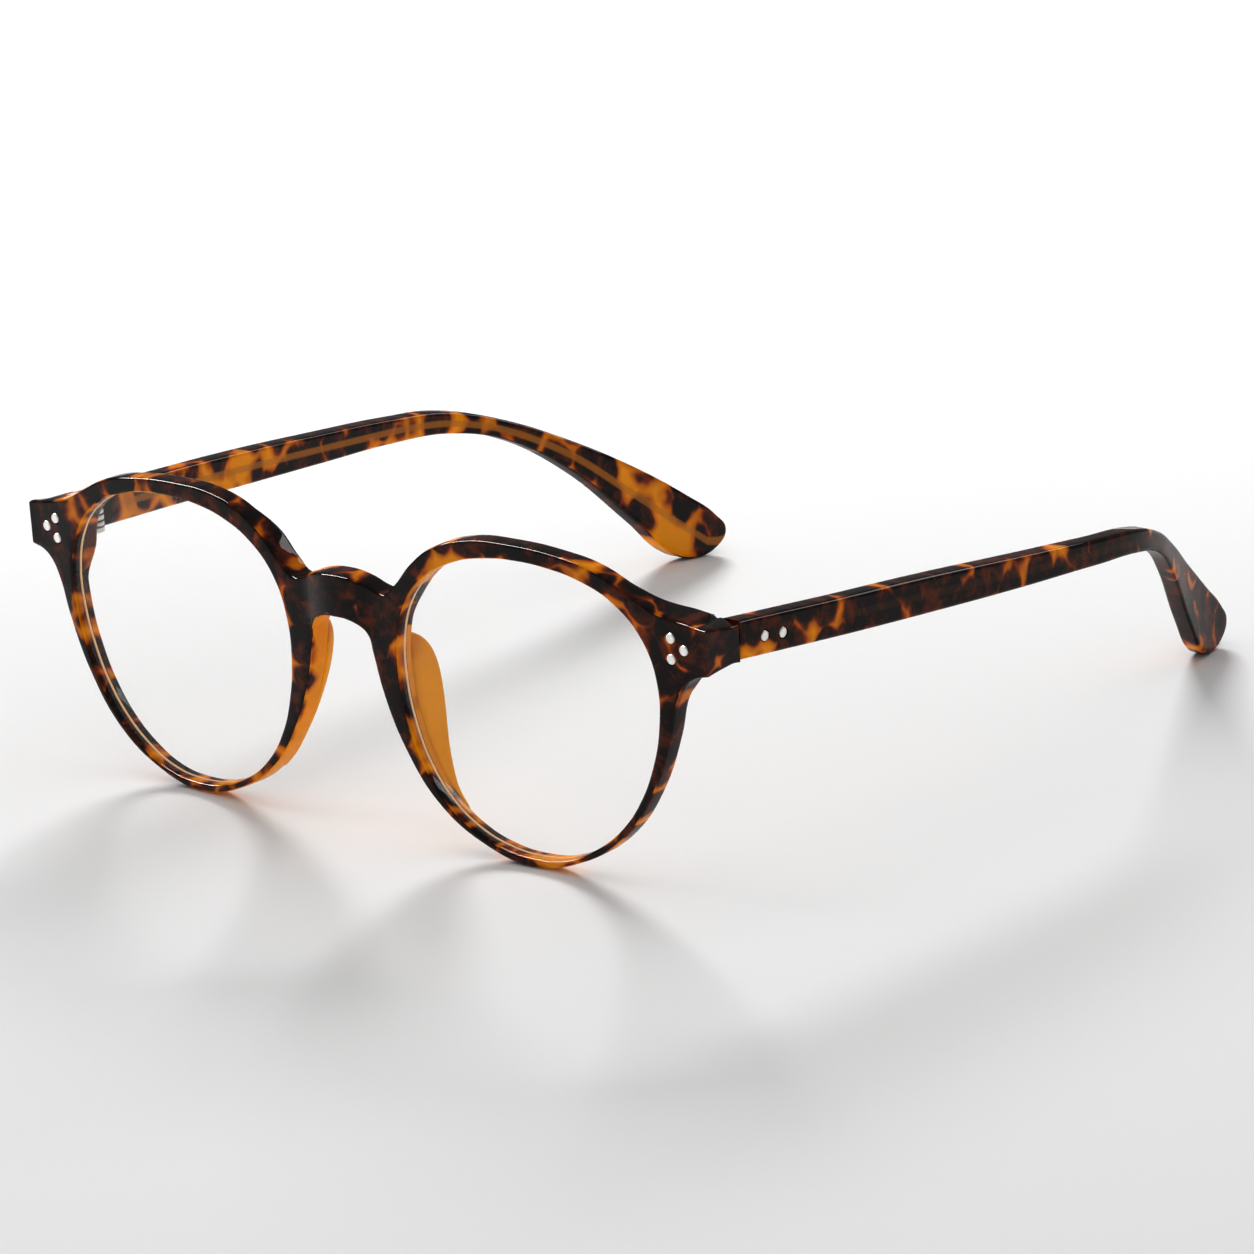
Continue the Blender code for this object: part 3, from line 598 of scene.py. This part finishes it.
def ring_solid(side, rings, crown=0.0):
    """A closed disc in the lens opening; rings are (growth, depth) pairs from front to back."""
    bm = bmesh.new()
    loops = []
    middle = Vector((side * OPENING_MIDDLE.x, OPENING_MIDDLE.y, 0))
    (front_grow, front_at), (back_grow, back_at) = rings[0], rings[-1]
    stations = [(s, front_grow, front_at - crown * (1 - s * s)) for s in DISC_SHARES]
    stations += [(1.0, grow, depth) for grow, depth in rings]
    stations += [(s, back_grow, back_at - crown * (1 - s * s)) for s in reversed(DISC_SHARES)]
    for share, grow, depth in stations:
        points = [middle.lerp(p, share) for p in opening_loop(side, grow)]
        ring = [bm.verts.new(face_point(p.x, p.y, depth)) for p in points]
        loops.append([bm.edges.new((a, b)) for a, b in zip(ring, ring[1:] + ring[:1])])
    for near, far in zip(loops, loops[1:]):
        bmesh.ops.bridge_loops(bm, edges=near + far)
    bmesh.ops.contextual_create(bm, geom=loops[0])
    bmesh.ops.contextual_create(bm, geom=loops[-1])
    bmesh.ops.recalc_face_normals(bm, faces=bm.faces)
    return bm


def pin(start, end, radius, segments=32):
    """A round cutter or pin between two points."""
    axis = Vector(end) - Vector(start)
    bm = bmesh.new()
    bmesh.ops.create_cone(bm, cap_ends=True, segments=segments, radius1=radius, radius2=radius,
                          depth=axis.length)
    turn = Vector((0, 0, 1)).rotation_difference(axis).to_matrix()
    bmesh.ops.rotate(bm, verts=bm.verts, cent=(0, 0, 0), matrix=turn)
    bmesh.ops.translate(bm, verts=bm.verts, vec=(Vector(start) + Vector(end)) / 2)
    return bm


def node_box(node, margin):
    """A milling cutter round a plain solid's own box, in drawing millimetres."""
    low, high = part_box(node)
    low = low / MM - Vector((margin, margin + FRONT_Y, margin))
    high = high / MM + Vector((margin, margin - FRONT_Y, margin))
    bm = bmesh.new()
    bmesh.ops.create_cube(bm, size=1.0)
    bmesh.ops.scale(bm, verts=bm.verts, vec=high - low)
    bmesh.ops.translate(bm, verts=bm.verts, vec=(low + high) / 2)
    return bm


GROOVE = ((-1.5, 1.4), (0.0, 1.5), (0.8, 1.6), (0.8, 2.0), (0.0, 2.1), (-1.5, 2.2))
RIVET_RADIUS = 0.8
HOLE_RADIUS = 0.97
DRILL_FROM, DRILL_TO = -2, 7.5   # the drill's reach from before the face to behind the end piece
LEAF_ROOM = 0.3                  # room round a hinge leaf in its pocket
sides = (("left", 1), ("right", -1))
for word, side in sides:
    front = cut_away(front, ring_solid(side, GROOVE))
    for number in (1, 2, 3):
        low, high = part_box(f"front_rivet_{word}_{number}")
        middle = (low + high) / 2 / MM
        drill = pin((middle.x, DRILL_FROM, middle.z), (middle.x, DRILL_TO, middle.z), HOLE_RADIUS)
        front = cut_away(front, drill)
    front = cut_away(front, node_box(f"hinge_front_{word}", LEAF_ROOM))
print("cut front", len(front.faces), "faces")


# %% Front: where light comes through the edge, then the finished piece
def mark_painted_light(bm, test):
    """Marks each corner of each face with the painted light through the acetate there, below zero for
    painted shade.
    """
    layer = bm.loops.layers.float.new("glow")
    bm.normal_update()
    for face in bm.faces:
        for corner in face.loops:
            corner[layer] = test(face, corner.vert.co)
    return bm


# A tree of the openings' edge points finds how near a corner is to the lens.
edge_list = [point for side in (1, -1) for point in opening_loop(side, 0)]
edge_points = KDTree(len(edge_list))
for number, point in enumerate(edge_list):
    edge_points.insert(point, number)
edge_points.balance()

# These values paint light through the acetate and shade: the face lighter near the lens, the walls
# towards the lens lighter than the outer ones, the end pieces and bridge darker. The nose's side stands
# for the pads' honey acetate.
FACE_GLOW, FACE_DIMS = 0.45, 0.24        # the face's glow at the lens, and its loss per millimetre
FACE_REACH = 3.5                         # the loss stops this far from the lens
END_FROM, BRIDGE_TO = 62, 9              # the face is dark beyond the first and within the second
TURNED_FROM = 68.5                       # the walls are dark beyond this
DARK_FACE, DARK_WALL = -0.12, -0.1
NOSE_TO, NOSE_TOP = 21, 34               # how far the nose's side goes, across and up
INNER_WALL, OUTER_WALL = 0.85, 0.4
HONEY_WALL = 2.0                         # behind the lens by the nose the wall is all honey


def front_painted_light(face, spot):
    """Painted light and shade: the rim is painted darker along its outside and lighter towards the lens,
    and the nose's side takes the pads' honey.
    """
    near = edge_points.find((spot.x, spot.z + FLOOR_CUT, 0))[2]
    if abs(face.normal.y) > 0.8:
        if abs(spot.x) > END_FROM or abs(spot.x) < BRIDGE_TO:
            return DARK_FACE
        return FACE_GLOW - FACE_DIMS * min(near, FACE_REACH)
    if abs(spot.x) > TURNED_FROM:
        return DARK_WALL
    side = 1 if spot.x > 0 else -1
    depth = spot.y - face_point(spot.x, spot.z + FLOOR_CUT, 0).y
    by_nose = abs(spot.x) < NOSE_TO and spot.z < NOSE_TOP
    if by_nose and face.normal.x * side < -0.2:
        return 1.0 + 1.7 * smooth_step(0.5, 2.6, depth) * smooth_step(NOSE_TOP, 31, spot.z)
    if by_nose and near < 1.5 and depth > 2.1:
        return HONEY_WALL
    return INNER_WALL if near < 1.6 else OUTER_WALL


mark_painted_light(front, front_painted_light)
finish_piece("front_shell", front, [front_shell], "front_frame", ["front"])

# %% [markdown]
# ## Lenses
#
# A lens is a thin curved disc whose edge is ground to a tongue that snaps into the rim's groove.
# It is made from the same growing rings as the groove, with a gentle crown on both faces. The
# tongue's faces take the ground finish, and all others stay clear.

# %% Lenses
TONGUE = 0.5                     # how far the ground edge reaches into the groove
TONGUE_FRONT, TONGUE_BACK = 1.74, 1.86
LENS_RINGS = ((-0.05, 0.8), (-0.05, 1.68), (TONGUE, TONGUE_FRONT), (TONGUE, TONGUE_BACK),
              (-0.05, 1.92), (-0.05, 2.8))
LENS_CROWN = 1.4
CLEAR, GROUND = 0, 1             # the places of the two finishes
for word, side in sides:
    lens = ring_solid(side, LENS_RINGS, LENS_CROWN)
    tongue_tips = set()
    for point in opening_loop(side, TONGUE):
        for depth in (TONGUE_FRONT, TONGUE_BACK):
            spot = face_point(point.x, point.y, depth)
            tongue_tips.add(min(lens.verts, key=lambda vertex: (vertex.co - spot).length_squared))
    for face in lens.faces:
        face.material_index = CLEAR if tongue_tips.isdisjoint(face.verts) else GROUND
    finish_piece(f"lens_{word}_shaped", lens, [clear_lens, ground_edge], "front_frame",
                 [f"lens_{word}"])

# %% [markdown]
# ## Nose pads
#
# The pads are one with the rim on each side of the nose: a fin that starts at the bridge, grows
# into a rounded crest and runs out down the rim. A few rings of points are bridged from the top
# down, and Subdivision Surface smooths them into the soft shape that hand filing gives. Each row
# holds a height, the root's two sides, the crest's place across and how far back it stands.

# %% Nose pads
PAD_STATIONS = (
    (32.6, 6.4, 11.2, 9.4, 4.4), (31.6, 6.3, 11.2, 9.9, 6.8), (29.4, 6.5, 11.2, 10.6, 8.7),
    (26.0, 7.2, 11.25, 11.4, 9.3), (22.0, 8.5, 11.8, 12.3, 8.8), (18.0, 10.2, 12.7, 13.4, 7.7),
    (14.5, 12.2, 14.2, 14.6, 6.4), (11.7, 14.2, 15.8, 16.0, 5.4), (9.4, 15.9, 17.5, 17.1, 4.6),
    (7.6, 17.7, 19.3, 18.7, 4.1), (6.2, 19.3, 20.9, 20.2, 3.8),
)
PAD_START = SHEET + 0.05         # the pads begin just behind the rim


def pad_section(nose, lens, crest, depth):
    """One ring round the fin: up the lens side, over the rounded crest and down the nose side."""
    rise = depth - PAD_START
    shoulder = PAD_START + 0.35 * rise
    return [(nose, PAD_START), (lens, PAD_START), (0.6 * lens + 0.4 * (crest + 0.6), shoulder),
            (crest + 0.6, depth - 0.22 * rise), (crest + 0.1, depth), (crest - 0.6, depth - 0.04 * rise),
            (crest - 1.3, depth - 0.3 * rise), (nose * 0.75 + crest * 0.25 - 0.2, shoulder)]


for word, side in sides:
    pad = bmesh.new()
    loops = []
    for height, *widths in PAD_STATIONS:
        ring = [pad.verts.new(face_point(x, height, y)) for x, y in pad_section(*widths)]
        loops.append([pad.edges.new((a, b)) for a, b in zip(ring, ring[1:] + ring[:1])])
    for upper, lower in zip(loops, loops[1:]):
        bmesh.ops.bridge_loops(pad, edges=upper + lower)
    bmesh.ops.contextual_create(pad, geom=loops[0])
    bmesh.ops.contextual_create(pad, geom=loops[-1])
    bmesh.ops.recalc_face_normals(pad, faces=pad.faces)
    piece = finish_piece(f"nose_pad_{word}_shaped", pad, [pad_finish], "front_frame",
                         [f"nose_pad_{word}"], side, sharp=180)
    smooth = piece.modifiers.new("soft", "SUBSURF")
    smooth.levels = smooth.render_levels = 3

# %% [markdown]
# ## Temples
#
# A temple is cut flat from a slightly thicker sheet, with its wire core shot in lengthwise.
# Its side view is a tapering bar that bends down behind the ear. In plan it follows a slow curve,
# flat beside the hinge and bowed in at the tip. So the side view is made as a polished sheet, cut
# across at even places, and each point is then moved out to the curve. Holes are drilled for the
# rivets, from the outside to the middle.

# %% Temples: the drawing
TEMPLE_THICK = 3.6
TEMPLE_POLISH = 0.7
OUTSIDE = 80                     # well outside the temple, where the drill starts
TEMPLE_OUT = ((10.8, 70.1), (30, 72.2), (50, 73.7), (70, 74.9), (88, 75.47), (100, 74.4),
              (110, 70.9), (120, 65.9), (130, 60.9), (140, 57.2), (149, 55.0))
TEMPLE_EDGE = (
    (10.8, 41.6), (30, 40.3), (50, 38.9), (70, 37.1), (88, 35.4), (100, 33.9), (110, 30.6),
    (120, 25.5), (130, 19.2), (140, 11.9), (145.4, 7.4), (147.3, 4.4), (145.0, 1.5), (140.4, 0.65),
    (136.4, 2.2), (130.5, 8.7), (120, 20.1), (110, 27.1), (101, 29.9), (88, 31.2), (70, 32.1),
    (50, 33.2), (30, 34.4), (10.8, 35.6),
)
CORE_ROUTE = ((10.8, 38.5), (22.8, 37.8), (40, 36.8), (60, 35.4), (80, 33.9), (92, 33.0), (101, 31.7),
              (110, 28.8), (120, 22.8), (129, 14.9), (137, 8.0), (144, 2.4))
CORE_START, CORE_END = 11, 143.5
INNER_SHOWS, OUTER_SHOWS = 1.0, 0.07     # how much of the wire shows on each side
UV_PER_MM = 0.1
# Painted light through the temple's inner side, and the outer side's darkening towards the tip.
INNER_GLOW, TIP_GLOW = 0.38, -0.3


def along(table, at):
    """Reads a value from a smooth curve through (position, value) pairs."""
    last = len(table) - 1
    index = max(i for i in range(last) if i == 0 or table[i][0] <= at)
    (x0, y0), (x1, y1) = table[index], table[index + 1]
    before = table[max(index - 1, 0)]
    after = table[min(index + 2, last)]
    span = x1 - x0
    start = (y1 - before[1]) / (x1 - before[0]) * span
    end = (after[1] - y0) / (after[0] - x0) * span
    t = (at - x0) / span
    return (y0 * (2 * t ** 3 - 3 * t ** 2 + 1) + start * (t ** 3 - 2 * t ** 2 + t)
            + y1 * (3 * t ** 2 - 2 * t ** 3) + end * (t ** 3 - t ** 2))


def temple_out(back):
    """How far out the temple's outer side is, flat beside the hinge."""
    (start, out), (flat_end, _) = TEMPLE_OUT[:2]
    if back >= flat_end:
        return along(TEMPLE_OUT, back)
    return out + (along(TEMPLE_OUT, flat_end) - out) / (flat_end - start) * (back - start)


print("a temple's outer side goes from", TEMPLE_OUT[0][1], "to", max(out for _, out in TEMPLE_OUT), "mm")


# %% Temples: shape, wire line and holes
def temple_core(core_uv, bm):
    """Writes how much of the wire shows at each corner, and how far it is off the wire."""
    bm.normal_update()
    for face in bm.faces:
        shows = INNER_SHOWS if face.normal.x < -0.5 else OUTER_SHOWS
        for loop in face.loops:
            back, up = loop.vert.co.y, loop.vert.co.z + FLOOR_CUT
            slope = (along(CORE_ROUTE, min(back + 0.5, CORE_END))
                     - along(CORE_ROUTE, min(back - 0.5, CORE_END - 1)))
            level = along(CORE_ROUTE, min(max(back, CORE_START), CORE_END))
            off = (up - level) / math.sqrt(1 + slope * slope)
            loop[core_uv].uv = (shows * smooth_step(16, 24, back), off * UV_PER_MM)


def temple_painted_light(face, spot):
    """Paints the light that comes through the inner side, and darkens the outer side towards the tip."""
    if face.normal.x < -0.6:
        return INNER_GLOW
    return TIP_GLOW * smooth_step(118, 132, spot.y)


for word, side in sides:
    body = f"{word}_arm"
    line = flowing(TEMPLE_EDGE, SMOOTHNESS + 1, closed=False)
    temple = polished_sheet([line], TEMPLE_THICK, TEMPLE_POLISH, 5)
    for back in range(13, 148, 2):
        cut_at(temple, (back, 0, 0), (1, 0, 0))
    for vertex in temple.verts:
        back, inward, up = vertex.co
        vertex.co = (temple_out(back) - inward, back, up - FLOOR_CUT)
    bmesh.ops.recalc_face_normals(temple, faces=temple.faces)
    for number in (1, 2):
        low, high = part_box(f"temple_rivet_left_{number}")
        middle = (low + high) / 2 / MM
        at = middle.y - FRONT_Y
        drill = pin((middle.x, at, middle.z), (OUTSIDE, at, middle.z), HOLE_RADIUS)
        temple = cut_away(temple, drill)
    mark_painted_light(temple, temple_painted_light)
    temple_core(temple.loops.layers.uv.new("core"), temple)
    finish_piece(f"temple_{word}_shell", temple, [temple_shell], body,
                 [f"temple_{word}"], side)

# %% [markdown]
# ## Temple hinges
#
# The temple's half of the hinge is sunk into the hot acetate, so that only two knuckles and their
# arms come out beside the joint. Each is a circle drawn out to an arm, given its height and a small
# bevel. The pivot's place comes from the screw's own box, and the height from the front leaf's.


# %% Temple hinges
KNUCKLE_RADIUS = 1.5
KNUCKLE_TALL = 0.7
KNUCKLE_STEP = 1.0
KNUCKLE_BEVEL = 0.08
ARM_TAPER = 0.85
CORNER_ANGLE = 1.2               # sharper edges than this, in radians, are bevelled
screw_low, screw_high = (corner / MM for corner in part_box("hinge_screw_left"))
pivot = Vector(((screw_low.x + screw_high.x) / 2, (screw_low.y + screw_high.y) / 2 - FRONT_Y, 0))
hinge_low, hinge_high = (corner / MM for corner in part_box("hinge_front_left"))
hinge_middle = (hinge_low.z + hinge_high.z) / 2
arm_end = Vector((68.0, 13.2, 0))    # where the arms sink into the temple
for word, side in sides:
    arms = bmesh.new()
    for level in (-1, 1):
        made = bmesh.ops.create_circle(arms, cap_ends=True, segments=32, radius=KNUCKLE_RADIUS)
        ring = made["verts"]
        bmesh.ops.translate(arms, verts=ring, vec=pivot)
        toward = (arm_end - pivot).normalized()
        far = [v for v in ring if (v.co - pivot).dot(toward) > 0.01]
        for vertex in far:
            across = (vertex.co - pivot) - toward * (vertex.co - pivot).dot(toward)
            vertex.co = arm_end + across * ARM_TAPER
        base = hinge_middle + level * KNUCKLE_STEP - KNUCKLE_TALL / 2
        bmesh.ops.translate(arms, verts=ring, vec=(0, 0, base))
        raised = bmesh.ops.extrude_face_region(arms, geom=list(ring[0].link_faces))
        lifted = [item for item in raised["geom"] if isinstance(item, bmesh.types.BMVert)]
        bmesh.ops.translate(arms, verts=lifted, vec=(0, 0, KNUCKLE_TALL))
    bmesh.ops.remove_doubles(arms, verts=arms.verts, dist=0.0005)
    bmesh.ops.recalc_face_normals(arms, faces=arms.faces)
    corners = [e for e in arms.edges if len(e.link_faces) == 2 and e.calc_face_angle(0) > CORNER_ANGLE]
    bmesh.ops.bevel(arms, geom=corners, offset=KNUCKLE_BEVEL, segments=2, profile=0.5, affect="EDGES",
                    material=-1)
    finish_piece(f"hinge_temple_{word}_arms", arms, [hinge_steel], f"{word}_arm",
                 [f"hinge_temple_{word}"], side)

# %% [markdown]
# ## Rivets
#
# Each hinge leaf is held by pins that go through the acetate and are filed flush, so a small round
# steel face shows. It is very slightly domed and has a soft rim. The dome is made by insetting the
# pin's cap a few times and lifting each inset a little, and the whole pin is then turned to face
# out of the front or out of the temple.


# %% Rivets
RIM_ROUND = 0.12
DOME_RING = 0.16
DOME_LIFTS = (0.02, 0.02, 0.01)
DOME = sum(DOME_LIFTS)
BURIED = 0.6                     # a temple rivet's inner end stays inside the acetate


def rivet(start, end):
    """A pin whose head, at start, is softly domed."""
    bm = pin((0, 0, 0), (0, 0, (Vector(end) - Vector(start)).length), RIVET_RADIUS, 40)
    head = [f for f in bm.faces if f.normal.z < -0.9]
    bmesh.ops.bevel(bm, geom=head[0].edges[:], offset=RIM_ROUND, segments=3, profile=0.5,
                    affect="EDGES", material=-1)
    head = [f for f in bm.faces if f.normal.z < -0.95]
    for lift in DOME_LIFTS:
        bmesh.ops.inset_region(bm, faces=head, thickness=DOME_RING, depth=0)
        inner = {v for f in head for v in f.verts}
        bmesh.ops.translate(bm, verts=list(inner), vec=(0, 0, -lift))
    turn = Vector((0, 0, 1)).rotation_difference(Vector(end) - Vector(start)).to_matrix()
    bmesh.ops.rotate(bm, verts=bm.verts, cent=(0, 0, 0), matrix=turn)
    bmesh.ops.translate(bm, verts=bm.verts, vec=start)
    return bm


def rivet_piece(node, body, start, end):
    """The finished rivet that stands for a node of the model."""
    finish_piece(f"{node}_head", rivet(start, end), [rivet_steel], body, [node])


for word, side in sides:
    for number in (1, 2, 3):
        low, high = (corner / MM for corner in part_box(f"front_rivet_{word}_{number}"))
        x, z = (low.x + high.x) / 2, (low.z + high.z) / 2
        rivet_piece(f"front_rivet_{word}_{number}", "front_frame",
                    (x, low.y - FRONT_Y + DOME, z), (x, high.y - FRONT_Y, z))
    for number in (1, 2):
        low, high = (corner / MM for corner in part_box(f"temple_rivet_{word}_{number}"))
        y, z = (low.y + high.y) / 2 - FRONT_Y, (low.z + high.z) / 2
        ends = (high.x - DOME, low.x + BURIED) if side > 0 else (low.x + DOME, high.x - BURIED)
        rivet_piece(f"temple_rivet_{word}_{number}", f"{word}_arm", *((x, y, z) for x in ends))

# %% [markdown]
# ## Floor, light and camera
#
# The spectacles stand on a pale satin floor that runs out of view. A window behind them makes the
# soft shadows that fall towards the camera, a large lamp overhead and a weak one in front light
# the acetate, and a pale world fills the rest. Two long strips only show as reflections, as thin
# bright lines along the polished edges. The camera is far away with a long lens, turned a few
# degrees.

# %% Floor
floor_finish, floor_tree, floor_shader, floor_add = start_finish("pale_floor")
floor_place = floor_add("ShaderNodeTexCoord").outputs["Object"]
floor_noise = floor_add("ShaderNodeTexNoise", Vector=floor_place, Scale=3.0, Detail=2.0).outputs["Fac"]
FLOOR_GREYS = ((0.3, (0.82, 0.82, 0.82)), (0.7, (0.85, 0.85, 0.85)))
floor_colour = ramp(floor_add, floor_tree, floor_noise, FLOOR_GREYS)
floor_tree.links.new(floor_colour, floor_shader.inputs["Base Color"])
set_shader(floor_shader, Roughness=0.55, Specular_IOR_Level=0.25)
floor_mesh = bpy.data.meshes.new("floor")
floor_bm = bmesh.new()
FLOOR_HALF = 6.0
bmesh.ops.create_grid(floor_bm, x_segments=4, y_segments=4, size=FLOOR_HALF)
floor_bm.to_mesh(floor_mesh)
floor_bm.free()
floor_mesh.materials.append(floor_finish)
floor = bpy.data.objects.new("floor", floor_mesh)
floor.location.z = cad_box[0][2] - 0.1 * MM
bpy.context.scene.collection.objects.link(floor)
print("floor at", round(floor.location.z, 5))

# %% Camera
CAMERA_AT = Vector((0.671376, -0.744011, 0.308598))
AZIMUTH, ELEVATION, ROLL = (math.radians(a) for a in (42.423, 16.393, -3.431))
back = Vector((math.sin(AZIMUTH) * math.cos(ELEVATION), -math.cos(AZIMUTH) * math.cos(ELEVATION),
               math.sin(ELEVATION)))
right_level = Vector((0, 0, 1)).cross(back).normalized()
up_level = back.cross(right_level)
right = right_level * math.cos(ROLL) + up_level * math.sin(ROLL)
up = up_level * math.cos(ROLL) - right_level * math.sin(ROLL)
camera_data = bpy.data.cameras.new("camera")
camera_data.lens = 188.05
camera_data.sensor_width = 36.0
camera_data.clip_end = 30.0
camera = bpy.data.objects.new("camera", camera_data)
turn = Matrix((right, up, back)).transposed().to_4x4()
camera.matrix_world = Matrix.Translation(CAMERA_AT) @ turn
bpy.context.scene.collection.objects.link(camera)
bpy.context.scene.camera = camera
print("camera at", [round(v, 3) for v in CAMERA_AT])


# %% Lights
def lamp(name, at, target, size, power, glossy=True, diffuse=True):
    """An area lamp aimed at a point; glossy says if it shows in reflections, diffuse if it lights."""
    data = bpy.data.lights.new(name, "AREA")
    data.shape = "RECTANGLE"
    data.size, data.size_y = size
    data.energy = power
    obj = bpy.data.objects.new(name, data)
    obj.location = at
    obj.rotation_euler = (Vector(target) - Vector(at)).to_track_quat("-Z", "Y").to_euler()
    obj.visible_glossy = glossy
    obj.visible_diffuse = diffuse
    bpy.context.scene.collection.objects.link(obj)


lamp("back_window", (-0.85, 0.95, 0.62), (0, 0, 0.02), (0.48, 0.32), 25.0, glossy=False)
lamp("overhead", (0.1, 0.2, 1.6), (0, 0, 0), (1.6, 1.6), 5.5, glossy=False)
lamp("edge_strip", (-1.0, -0.4, 1.15), (0, 0, 0.03), (0.25, 1.4), 75.0, diffuse=False)
lamp("temple_strip", (0.5, 1.2, 1.1), (0, 0, 0.03), (1.2, 0.25), 6.0, diffuse=False)
lamp("front_fill", (0.9, -0.9, 0.9), (0, 0, 0.02), (0.8, 0.8), 2.0, glossy=False)
world = bpy.data.worlds.new("studio")
bpy.context.scene.world = world
world.use_nodes = True
background = world.node_tree.nodes["Background"]
background.inputs["Color"].default_value = (1.0, 1.0, 1.0, 1.0)
background.inputs["Strength"].default_value = 0.33
view = bpy.context.scene.view_settings
view.view_transform = "Standard"
view.gamma = 0.86
view.exposure = 0.06
print("lights placed")
